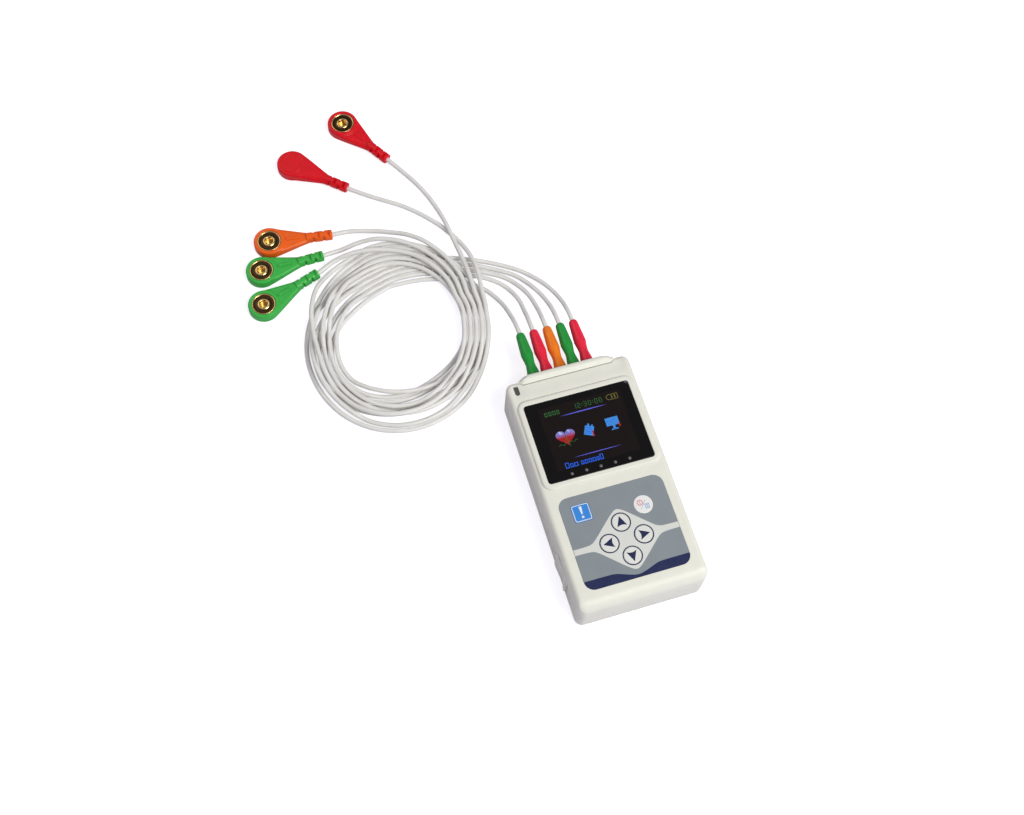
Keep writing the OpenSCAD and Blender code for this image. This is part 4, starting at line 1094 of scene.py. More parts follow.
    def relief(self, skin: Skin) -> None:
        """Slotted strain relief along +X: its radius is the tube's, or the distance to a slot's level floor.

        Args:
            skin: Skin that it is added to.
        """
        start, radius, middle_z, steps = self.neck_l, self.neck_r, self.snap_h / 2, 72
        floor, count, pitch, width = 1.35, 4, 2.6, 1.25
        edges = np.concatenate([[start + 2 + pitch * i, start + 2 + width + pitch * i] for i in range(count)])
        x = np.sort(np.concatenate([[start - 1.0, start + 12.1], edges - 0.04, edges + 0.04,
                                    (edges[::2] + edges[1::2]) / 2]))
        angle = np.linspace(0.0, 2 * math.pi, steps, endpoint=False)
        slot = ((x[:, None] > edges[::2]) & (x[:, None] < edges[1::2])) @ np.arange(1, count + 1)
        across = np.where(slot % 2 == 1, 1, 0)[:, None]
        lean = np.where(across == 1, np.abs(np.cos(angle)), np.abs(np.sin(angle)))
        r = np.where(slot[:, None] > 0, np.minimum(radius, floor / np.maximum(lean, 1e-6)), radius)
        tail = np.array([[0.15, radius - 0.35], [0.3, radius - 0.9], [0.3, 1.25], [0.3, 0.0]])
        x = np.concatenate([x[:1], x, x[-1] + tail[:, 0]])
        r = np.concatenate([np.zeros((1, steps)), r, np.repeat(tail[:, 1:], steps, 1)])
        skin.grid(np.stack([np.broadcast_to(x[:, None], r.shape), r * np.cos(angle),
                            middle_z + r * np.sin(angle)], -1))

    def socket(self, lead: int) -> bpy.types.Object:
        """Metal of a snap: a dark disc with a bright rolled rim, and a bright ring round the stud's bore.

        Args:
            lead: Number of the lead, from 0.

        Returns:
            The metal.
        """
        h = self.snap_h - 0.7
        under = [[2.0, h - 2.9], [0.0, h - 2.9], [0.0, h - 3.6], [2.85, h - 3.6], [2.85, h - 0.02]]
        rim = [[5.95, h - 0.02], [5.98, h + 0.3], [5.9, h + 0.42], [5.7, h + 0.46], [5.5, h + 0.42],
               [5.38, h + 0.3]]
        disc = [[5.3, h + 0.16], [5.0, h + 0.1], [4.2, h + 0.1], [3.5, h + 0.12]]
        ring = [[3.15, h + 0.22], [2.98, h + 0.42], [2.75, h + 0.54], [2.45, h + 0.56], [2.2, h + 0.48],
                [2.05, h + 0.3], [2.0, h - 0.2], [2.0, h - 2.9]]
        bright = np.repeat([1, 0, 1], [len(under) + len(rim), len(disc), len(ring) - 1])
        skin = Skin()
        skin.lathe(np.array([*under, *rim, *disc, *ring]), 56, bright)
        wire = np.array([[-0.16, -1.95], [0.16, -1.95], [0.16, 1.95], [-0.16, 1.95]])
        for turn in (0.0, 90.0):
            skin.slab([turned(wire, turn)], h - 2.9, h - 2.6, mark=1)
        skin.moved(*self.snap_turn(lead))
        return skin.piece(f"snap_{lead + 1}_metal", [BRONZE, GOLD], slot="snap_metal", sharp=50,
                          replaces=["snap_sockets"] if lead == 0 else ())

    def build(self) -> None:
        """Makes the plugs, snap heads and cords."""
        for lead in range(len(self.snaps)):
            self.at_ends.append([self.plug(lead), self.snap(lead), self.socket(lead)])
        for lead, heights in enumerate(self.heights()):
            self.cord(lead, heights)


# Case


@dataclass
class Case:
    """Covers of the case with the battery door, the lens and the flap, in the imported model's sizes.

    Attributes:
        width: Width of the case.
        end_y: Lower end.
        shoulder_y: Upper end beside the ridge.
        face_y: Face of the ridge.
        height: Height of the keypad face.
        corner: Plan radius of the corners.
        side_edge: Radius of the upper edge along the sides and the shoulders.
        end_edge: Radius of the upper edge at the lower end.
        parting_z: Height of the parting line.
        wall: Wall thickness.
        ceiling_z: Height of the inside.
        window: Width, length and middle along Y of the display window.
        window_z: Height of the window's seat.
        keypad: Width, length and middle along Y of the keypad film.
        keypad_corner: Radius of the film's corners.
        keypad_z: Height of the film's seat.
        well_z: Floor of the wells under the keys.
        stem_hole: Radius of the holes for the keys' stems.
        lens_size: Width and length of the indicator lens.
        lens_at: Its middle.
        flap_pin: Place of the flap's pin.
        flap_end: Where the flap ends along Y.
        flap_plate: Heights between which its plate fills the opening.
        shield_size: Size of the flap's shield, along the case and upwards.
        shield_at: Its middle, along the case from the pin and above the table.
        shield_corner: Radius of its corners.
    """

    width: float = 62.8
    end_y: float = -60.0
    shoulder_y: float = 58.0
    face_y: float = 60.0
    height: float = 25.0
    corner: float = 4.0
    side_edge: float = 2.4
    end_edge: float = 5.6
    parting_z: float = 13.0
    wall: float = 2.2
    ceiling_z: float = 21.8
    window: tuple[float, float, float] = (52.6, 41.2, 23.2)
    window_z: float = 24.7
    keypad: tuple[float, float, float] = (51.2, 45.6, -28.6)
    keypad_corner: float = 4.8
    keypad_z: float = 24.4
    well_z: float = 23.3
    stem_hole: float = 1.6
    lens_size: tuple[float, float] = (2.2, 5.2)
    lens_at: tuple[float, float] = (-26.4, 53.4)
    flap_pin: tuple[float, float] = (-30.4, -24.3)
    flap_end: float = -43.3
    flap_plate: tuple[float, float] = (3.3, 12.85)
    shield_size: tuple[float, float] = (15.6, 14.6)
    shield_at: tuple[float, float] = (11.2, 10.9)
    shield_corner: float = 2.2

    def rim(self, turn: float = 0.0) -> Array:
        """Outline of the case from above, carried over its rounded upper edge.

        The edge is a quarter circle. Round a lower corner its radius grows with the square of the normal's Y, from
        the side's to the lower end's.

        Args:
            turn: How far over the edge, from 0 at the wall to a quarter turn on top.

        Returns:
            (n, 3) points.
        """
        side, low = self.side_edge * (1 - math.cos(turn)), self.end_edge * (1 - math.cos(turn))
        top, bottom = self.shoulder_y - side, self.end_y + low
        loop, normal = rounded_loop(self.width - 2 * side, top - bottom, self.corner - side,
                                    (0.0, (top + bottom) / 2), arc=10, run=28)
        radius = self.side_edge + (self.end_edge - self.side_edge) * np.clip(-normal[:, 1], 0.0, 1.0) ** 2
        return at_height(loop, self.height - radius * (1 - math.sin(turn)))

    def sunk(self, points: Array) -> Array:
        """Lowers the top face to a shallow trough between the raised frame and the ridge.

        The depth eases in along Y, is greater beside the ridge's ends, eases out before the corners, and counts in
        full only near the top.

        Args:
            points: (n, 3) points.

        Returns:
            The points, lowered.
        """
        x, y, z = np.abs(points[:, 0]), points[:, 1], points[:, 2]
        depth = (0.5 + 0.4 * ease((x - 20.0) / 5.0)) * ease((y - 47.4) / 7.2) * (1 - ease((x - 26.4) / 2.8))
        return points - (depth * ease((z - 22.4) / 2.2))[:, None] * np.array([0.0, 0.0, 1.0])

    def window_loop(self, grow: float) -> Array:
        """Outline of the display window, grown by a margin."""
        return rounded_loop(self.window[0] + 2 * grow, self.window[1] + 2 * grow, 1.5 + max(grow, -1.0),
                            (0.0, self.window[2]), run=10)[0]

    def keypad_loop(self, grow: float) -> Array:
        """Outline of the keypad film, grown by a margin."""
        return rounded_loop(self.keypad[0] + 2 * grow, self.keypad[1] + 2 * grow, self.keypad_corner + grow,
                            (0.0, self.keypad[2]), run=10)[0]

    def lens_loop(self, grow: float) -> Array:
        """Outline of the indicator lens, grown by a margin."""
        width, length = self.lens_size
        return rounded_loop(width + 2 * grow, length + 2 * grow, 1.09 + grow, self.lens_at, run=6)[0]

    def front_cover(self, keys: Sequence["Key"]) -> bpy.types.Object:
        """Upper half of the case.

        The outline is carried up the wall and in over its rounded edge; below, it runs back up inside. The raised
        frame and the ridge are rings of their own.

        Args:
            keys: The keys that it leaves room for.

        Returns:
            The cover.
        """
        skin = Skin()
        top, parting, inside_z = self.height, self.parting_z, self.ceiling_z
        points, normals = rounded_loop(self.width, self.shoulder_y - self.end_y, self.corner,
                                       (0.0, (self.shoulder_y + self.end_y) / 2), arc=10, run=28)
        wall = ((self.wall, inside_z), (self.wall, parting), (0.4, parting), (0.12, parting + 0.1),
                (0.0, parting + 0.4), (0.0, top - 7.0))
        rows = [at_height(points - normals * inset, z) for inset, z in wall]
        rows += [self.rim(turn) for turn in np.radians(np.linspace(0, 90, 11))]
        skin.grid(np.stack(rows))
        seat, opening, lens = self.window_loop(0.1), self.window_loop(-1.3), self.lens_loop(0.1)
        across = np.linspace(-28.4, 28.4, 39)
        trough = [np.stack([across, np.full_like(across, y)], -1) for y in np.linspace(48.0, 55.0, 8)]
        skin.flat([rows[-1][:, :2], seat, self.keypad_loop(0.18), lens], top, lines=trough)
        skin.grid(np.stack([at_height(lens, z) for z in (top, inside_z)]))
        skin.points = [self.sunk(sheet) for sheet in skin.points]
        skin.grid(np.stack([at_height(seat, top), at_height(seat, self.window_z)]))
        skin.flat([seat, opening], self.window_z)
        skin.grid(np.stack([at_height(opening, self.window_z), at_height(opening, inside_z)]))
        step = ((0.18, top), (0.11, top - 0.04), (0.08, top - 0.12), (0.08, self.keypad_z))
        skin.grid(np.stack([at_height(self.keypad_loop(g), z) for g, z in step]))
        wells = [key.outline(0.1) for key in keys]
        skin.flat([self.keypad_loop(0.08), *wells], self.keypad_z)
        holes = [circle(self.stem_hole, key.place, 24) for key in keys]
        for well, hole in zip(wells, holes):
            skin.grid(np.stack([at_height(well, self.keypad_z), at_height(well, self.well_z)]))
            skin.flat([well, hole], self.well_z)
            skin.grid(np.stack([at_height(hole, self.well_z), at_height(hole, inside_z)]))
        skin.flat([rows[0][:, :2], opening, lens, *holes], inside_z, up=False)
        self.window_frame(skin)
        self.ridge(skin)
        return skin.piece("front_cover_shell", [CREAM], slot="case", replaces=["front_cover"], sharp=38)

    def window_frame(self, skin: Skin) -> None:
        """Adds the raised frame round the display: its outline is carried up a soft slope, in, and down its seat.

        Args:
            skin: Skin that it is added to.
        """
        border, corner, foot = 3.2, 5.0, 23.6
        width, length = self.window[0] + 2 * border, self.window[1] + 2 * border
        slope = ((0.0, foot), (0.0, 24.86), (0.12, 25.12), (0.42, 25.55), (0.72, 25.84), (1.05, 25.97), (1.5, 26.0))
        seat = ((0.55, 26.0), (0.3, 25.96), (0.14, 25.84), (0.1, 25.66), (0.1, foot))
        middle = (0.0, self.window[2])
        rows = [at_height(rounded_loop(width - 2 * d, length - 2 * d, corner - d, middle, run=10)[0], z)
                for d, z in slope]
        rows += [at_height(self.window_loop(g), z) for g, z in seat]
        skin.grid(np.stack([*rows, rows[0]]))

    def ridge(self, skin: Skin) -> None:
        """Adds the ridge over the lead sockets.

        An arch over their opening is carried along Y. It is lower and narrower at both ends, and the face towards
        the plugs is closed between the arch and the opening.

        Args:
            skin: Skin that it is added to.
        """
        share = np.linspace(0.0, 1.0, 11)
        opening_half, opening_z, opening_bend = 19.45, 19.7, 0.25

        def arch(half: float, top: float, bend: float) -> Array:
            """Arch outline in X and Z from its left foot over to its right foot, with an eased rise at each end.

            Args:
                half: Half of its width.
                top: Its height.
                bend: Height of the eased rise, which is twice as wide.

            Returns:
                (n, 2) points.
            """
            left = np.stack([-half + 2 * bend * share, top - bend * (1 - ease(share))], -1)
            top_run = np.stack([np.linspace(-half + 2 * bend, half - 2 * bend, 26)[1:-1], np.full(24, top)], -1)
            feet = np.linspace(self.parting_z, top - bend, 4)[:-1]
            sides = np.stack([np.full(3, -half), feet], -1)
            path = np.concatenate([sides, left, top_run])
            mirror = np.concatenate([sides, left])[::-1] * np.array([-1.0, 1.0])
            return np.concatenate([path, mirror])

        # Place along Y, half width, height and bend of each section
        stations = ((54.2, 25.7, 24.1, 1.6), (54.9, 25.7, 24.34, 1.6), (55.4, 25.7, 24.47, 1.6),
                    (55.8, 25.65, 24.6, 1.6), (56.2, 25.6, 24.79, 1.7), (56.6, 25.5, 25.06, 1.8),
                    (57.0, 25.3, 25.36, 1.9), (57.5, 25.0, 25.64, 1.9), (58.0, 24.5, 25.78, 1.9),
                    (58.5, 23.6, 25.79, 1.9), (59.1, 22.4, 25.66, 1.7), (59.6, 21.4, 25.44, 1.4),
                    (59.88, 20.7, 25.1, 1.1), (self.face_y, 20.2, 24.6, 0.8))
        outer = np.stack([np.insert(arch(half, top, bend), 1, y, axis=1) for y, half, top, bend in stations])
        outer[..., 2] -= 0.42 * ease((np.abs(outer[..., 0]) - 20) / 5) * (1 - ease((outer[..., 1] - 56.0) / 1.6))
        opening = arch(opening_half, opening_z, opening_bend)
        inner = np.stack([np.insert(opening, 1, y, axis=1) for y in (self.face_y, stations[0][0])])
        skin.grid(np.concatenate([outer, inner, outer[:1]])[::-1], wrap=False)
        for side in (0, -1):
            foot = np.concatenate([outer[:, side], inner[:, side]])
            order = np.arange(len(foot) - 2)
            last = np.full_like(order, len(foot) - 1)
            faces = np.stack([last, order, order + 1], -1)
            skin.add(foot, faces if side == 0 else faces[:, ::-1])

    def lens(self) -> bpy.types.Object:
        """Narrow grey lens at the upper left corner: a capsule with a rolled edge and a shallow dish.

        Returns:
            The lens.
        """
        skin = Skin()
        loop = self.lens_loop(0.0)
        middle = loop.mean(0)
        steps = ((0.0, 21.3), (1.0, 21.3), (1.0, 24.92), (0.97, 25.02), (0.9, 25.06), (0.82, 25.0), (0.7, 24.94),
                 (0.4, 24.92), (0.0, 24.92))
        skin.grid(np.stack([at_height(middle + (loop - middle) * share, z) for share, z in steps]))
        skin.points = [self.sunk(sheet) for sheet in skin.points]
        return skin.piece("indicator_lens_cap", [LENS], slot="lens", replaces=["indicator_lens"])

    def flap(self) -> bpy.types.Object:
        """Flap over the port in the left wall: a plate with a knuckle round the pin, and a shield over it.

        The shield is a sheet over a rounded rectangle of points (a, b), a along the case and b upwards. Its height
        is a bend at the edge times a share that falls along the case, and the finger lip's swell.

        Returns:
            The flap.
        """
        pin, end, wall, inner = self.flap_pin, self.flap_end, self.width / -2 - 0.05, -30.3
        knuckle = circle(1.5, pin, 48)[np.arange(-11, 31)]
        knuckle[:, 0] = np.maximum(knuckle[:, 0], wall)
        plate = [[wall, end + 0.2], [wall + 0.06, end + 0.06], [wall + 0.2, end], [inner, end],
                 [inner, pin[1] - 1.7]]
        skin = Skin()
        skin.slab([np.concatenate([knuckle, np.array(plate)])], *self.flap_plate)
        middle, size, corner, bend = self.shield_at, self.shield_size, self.shield_corner, 0.4

        def raised(sheet: Array) -> Array:
            """Lifts a level sheet to the shield's height.

            Args:
                sheet: (n, 3) points, a and b first.

            Returns:
                The lifted points.
            """
            from_middle = np.abs(sheet[:, :2] - middle) - np.array(size) / 2 + corner
            outside = np.linalg.norm(np.maximum(from_middle, 0.0), axis=1)
            edge = np.clip((corner - outside - np.minimum(from_middle.max(1), 0.0)) / bend, 0.0, 1.0)
            a, b = sheet[:, 0], sheet[:, 1]
            lip = 1.25 * ease((a - 14.0) / 3.8) * ease((b - 5.8) / 1.4) * (1 - ease((b - 13.6) / 1.4))
            share = 0.1 + 0.75 * (1 - ease((a - 2.5) / 13.0)) + lip
            return np.column_stack([a, b, sheet[:, 2] + np.sqrt(1 - (1 - edge) ** 2) * share])

        loops = [rounded_loop(size[0] - 2 * g, size[1] - 2 * g, corner - g, middle, run=16)[0]
                 for g in (0.0, 0.03, 0.1, 0.2, bend)]
        across = np.linspace(4.4, 17.6, 23)
        lines = [np.concatenate([loop, loop[:1]]) for loop in loops[1:]]
        lines += [np.stack([across, np.full_like(across, b)], -1) for b in np.linspace(4.6, 17.2, 22)]
        start = len(skin.points)
        skin.flat(loops[:1], 0.0, lines=lines)
        skin.points[start:] = [raised(sheet) for sheet in skin.points[start:]]
        skin.flat(loops[:1], 0.0, up=False)
        against_wall = np.array([[0, 0, -1], [-1, 0, 0], [0, 1, 0]])
        skin.moved(against_wall, (wall + 0.03, pin[1], 0.0), start)
        return skin.piece("port_cover_flap", [CREAM], "port_cover", slot="case", replaces=["port_cover"])

    def build(self, keys: Sequence["Key"]) -> None:
        """Makes the covers and what belongs to them.

        Args:
            keys: The keys that the front cover leaves room for.
        """
        self.front_cover(keys)
        self.lens()
        merged_copy("rear_cover", "rear_cover_shell", CREAM_DARK)
        merged_copy("battery_door", "battery_door_panel", CREAM_DARK, "battery_door")
        self.flap()


# Keypad


class KeyShape(Enum):
    """Shape of a key's cap."""

    ARROW = "arrow"
    MARK = "mark"
    POWER = "power"


@dataclass
class Key:
    """One key of the keypad: cap, stem and printed sign.

    Attributes:
        name: Name of the CAD node without its prefix.
        place: Its middle.
        shape: Shape of its cap.
        size: Width of its cap.
        turn: Turn of its sign in degrees.
        top_z: Height of its cap.
    """

    name: str
    place: tuple[float, float]
    shape: KeyShape
    size: float
    turn: float = 0.0
    top_z: float = 25.2

    def outline(self, grow: float) -> Array:
        """Outline of the cap, grown by a margin.

        Args:
            grow: The margin in mm.

        Returns:
            (n, 2) points.
        """
        if self.shape is KeyShape.MARK:
            return rounded_loop(self.size + 2 * grow, self.size + 2 * grow, 1.0 + grow, self.place, arc=6, run=6)[0]
        return circle(self.size / 2 + grow, self.place, 48)

    def at_place(self, points: Array) -> Array:
        """Turns flat points by the sign's turn and moves them to the key."""
        return turned(points, self.turn) + np.array(self.place)

    def cap(self, finish: Finish, slot: str) -> bpy.types.Object:
        """Cap and stem: the cap's outline is carried up over a rolled edge to a slightly crowned top.

        Args:
            finish: Its finish.
            slot: Material slot of the record.

        Returns:
            The cap.
        """
        skin = Skin()
        middle = np.array(self.place)
        loop = self.outline(0.0)
        steps = ((0.05, 1.0, 23.9), (0.05, 1.0, 25.0), (-0.01, 1.0, 25.12), (-0.15, 1.0, 25.18),
                 (-0.4, 1.0, 25.195), (-0.4, 0.5, self.top_z), (-0.4, 0.0, self.top_z))
        rows = [at_height(middle + (self.outline(g) - middle) * share, z) for g, share, z in steps]
        stem = [at_height(middle + (loop - middle) / np.linalg.norm(loop - middle, axis=1, keepdims=True) * r, z)
                for r, z in ((0.0, 21.2), (1.35, 21.2), (1.5, 21.35), (1.5, 23.9))]
        skin.grid(np.stack([*stem, *rows]))
        return skin.piece(f"key_{self.name}_cap", [finish], f"{self.name}_key", slot=slot,
                          replaces=[f"key_{self.name}"])

    def print_on(self, label: str, loops: Sequence[Array], finish: Finish, height: float = 0.02) -> None:
        """Prints a flat sign on the cap.

        Args:
            label: What the sign shows.
            loops: Its outline and holes, round the key's middle.
            finish: Its ink.
            height: How far it stands proud.
        """
        skin = Skin()
        skin.slab([self.at_place(loop) for loop in loops], self.top_z - 0.01, self.top_z + height)
        skin.piece(f"key_{self.name}_{label}", [finish], f"{self.name}_key", weighted=False)

    def arrow_sign(self) -> None:
        """Prints the barbed arrow head."""
        head = np.array([[0.0, 3.0], [-2.45, -2.15], [-1.25, -1.6], [0.0, -1.38], [1.25, -1.6], [2.45, -2.15]])
        self.print_on("arrow", [head], INK_NAVY)

    def mark_sign(self) -> None:
        """Prints the border of the mark key, and the bar and dot in it."""
        border = rounded_loop(8.1, 8.1, 0.9, arc=6)[0]
        self.print_on("border", [border, rounded_loop(7.4, 7.4, 0.6, arc=6)[0]], INK_WHITE)
        bar = np.array([[-0.72, 2.9], [-0.3, -0.75], [0.3, -0.75], [0.72, 2.9], [0.45, 3.12], [-0.45, 3.12]])
        self.print_on("bar", [bar], INK_WHITE)
        self.print_on("dot", [circle(0.62, (0.0, -2.15), 20)], INK_WHITE)

    def power_sign(self) -> None:
        """Prints the power key's two signs, a switch and a page, on both sides of a slanting line."""
        switch, page_at = (-1.35, 1.1), np.array([1.55, -1.25])
        self.print_on("ring", [circle(1.4, switch, 32), circle(1.08, switch, 32)], INK_RED)
        stroke = np.array([[-0.13, -0.55], [0.13, -0.55], [0.13, 0.75], [-0.13, 0.75]])
        self.print_on("stroke", [stroke + np.array([-1.35, 1.0])], INK_RED)
        line = np.array([[-0.09, -2.5], [0.09, -2.5], [0.09, 2.5], [-0.09, 2.5]])
        self.print_on("divider", [turned(line, -38)], INK_BLUE)
        page = np.array([[-1.05, -1.2], [1.05, -1.2], [1.05, 1.2], [-1.05, 1.2]])
        self.print_on("page", [page + page_at, page * 0.78 + page_at], INK_BLUE)
        rule = np.array([[-0.6, -0.1], [0.6, -0.1], [0.6, 0.1], [-0.6, 0.1]])
        for i in range(3):
            self.print_on(f"rule_{i}", [rule + page_at + np.array([0.0, 0.6 * (i - 1)])], INK_BLUE)

    def build(self) -> None:
        """Makes the key with its sign."""
        finish, slot, sign = {KeyShape.ARROW: (KEY_LIGHT, "arrow_key", self.arrow_sign),
                              KeyShape.MARK: (KEY_BLUE, "mark_key", self.mark_sign),
                              KeyShape.POWER: (KEY_WHITE, "power_key", self.power_sign)}[self.shape]
        self.cap(finish, slot)
        sign()


@dataclass
class Keypad:
    """Printed film over the keypad, with its six keys.

    Attributes:
        case: The case that it sits in.
        cross: Middle of the arrow keys.
        reach: Distance of an arrow key from it.
        dark_y: Upper side of the dark field at the film's sides.
        ring: Inner and outer radius of the dark rings round the arrow keys.
        film_z: Lower and upper face of the film.
    """

    case: Case
    cross: float = -32.4
    reach: float = 8.4
    dark_y: float = -46.7
    ring: tuple[float, float] = (4.18, 4.74)
    film_z: tuple[float, float] = (24.41, 25.02)

    def keys(self) -> list[Key]:
        """The six keys, four of them round the middle of the cross.

        Returns:
            The keys.
        """
        return [Key("up", (0.0, self.cross + self.reach), KeyShape.ARROW, 8.0),
                Key("down", (0.0, self.cross - self.reach), KeyShape.ARROW, 8.0, 180.0),
                Key("left", (-self.reach, self.cross), KeyShape.ARROW, 8.0, 90.0),
                Key("right", (self.reach, self.cross), KeyShape.ARROW, 8.0, -90.0),
                Key("mark", (-16.0, -14.6), KeyShape.MARK, 8.6),
                Key("power", (12.9, -18.6), KeyShape.POWER, 9.0)]

    def upper_line(self, x: Array) -> Array:
        """Upper side of the light field: a band that swells into a diamond, both with rounded changes."""
        return soft_max(-15.4 - 0.97 * np.sqrt(x * x + 4.4), -31.1, 1.6)

    def lower_line(self, x: Array) -> Array:
        """Lower side of the light field, the upper one mirrored at the band's middle."""
        return 2 * self.cross - self.upper_line(x)

    def dark_line(self, x: Array) -> Array:
        """Upper side of the dark field: level at the sides, and a rounded dip round the diamond's lower corner."""
        return -soft_max(0 * x - self.dark_y, 51.2 - 0.42 * np.sqrt(x * x + 9.0), 0.7)

    def film(self, keys: Sequence[Key]) -> bpy.types.Object:
        """Film with its printed fields and the rings round the arrow keys, cut exactly along their borders.

        Args:
            keys: The keys that it leaves free.

        Returns:
            The film.
        """
        low, high = self.film_z
        borders = (self.upper_line, self.lower_line, self.dark_line)
        arrows = [key for key in keys if key.shape is KeyShape.ARROW]

        def field_of(middle: Array) -> Array:
            """Finish index of each face: 0 grey, 1 light, 2 dark.

            Args:
                middle: (n, 2) middles of the faces.

            Returns:
                (n,) indices.
            """
            mx, my = middle[:, 0], middle[:, 1]
            mark = np.where((my < self.upper_line(mx)) & (my > self.lower_line(mx)), 1, 0)
            mark = np.where(my < self.dark_line(mx), 2, mark)
            for key in arrows:
                away = np.linalg.norm(middle - np.array(key.place), axis=1)
                mark = np.where((away > self.ring[0] * 0.998) & (away < self.ring[1]), 2, mark)
            return mark

        rim = self.case.keypad_loop(-0.07)
        x, beyond = np.linspace(-27.0, 27.0, 109), rim[:, 0].max() + 0.3
        lines = []
        for border in borders:
            line = np.stack([x, border(x)], -1)
            ends = np.array([-beyond, beyond])
            tips = np.stack([ends, border(ends)], -1)
            lines.append(np.concatenate([tips[:1], line[inside(line, rim)], tips[1:]]))
        rings = [circle(r, key.place, 56) for key in arrows for r in self.ring]
        lines += [np.concatenate([ring, ring[:1]]) for ring in rings]
        skin = Skin()
        holes, soft_holes = [key.outline(0.09) for key in keys], [key.outline(0.14) for key in keys]
        skin.flat([rim, *soft_holes], high, lines=lines, marker=field_of)
        edge = [at_height(self.case.keypad_loop(g), z)
                for g, z in ((0.05, low), (0.05, high - 0.08), (0.01, high - 0.02), (-0.07, high))]
        edge_marks = np.where(edge[0][:, 1] < self.dark_y, 2, 0)
        skin.grid(np.stack(edge), mark=np.tile(edge_marks, len(edge) - 1))
        for hole, soft_hole, key in zip(holes, soft_holes, keys):
            rows = [at_height(soft_hole, high), at_height(hole, high - 0.07), at_height(hole, low)]
            skin.grid(np.stack(rows), mark=1 if key.shape is KeyShape.ARROW else 0)
        skin.flat([self.case.keypad_loop(0.05), *holes], low, up=False)
        return skin.piece("keypad_film_print", [FILM_GREY, FILM_LIGHT, FILM_NAVY], slot="keypad",
                          replaces=["keypad_film"])

    def build(self, keys: Sequence[Key]) -> None:
        """Makes the film and the keys.

        Args:
            keys: The keys.
        """
        self.film(keys)
        for key in keys:
            key.build()


# Display


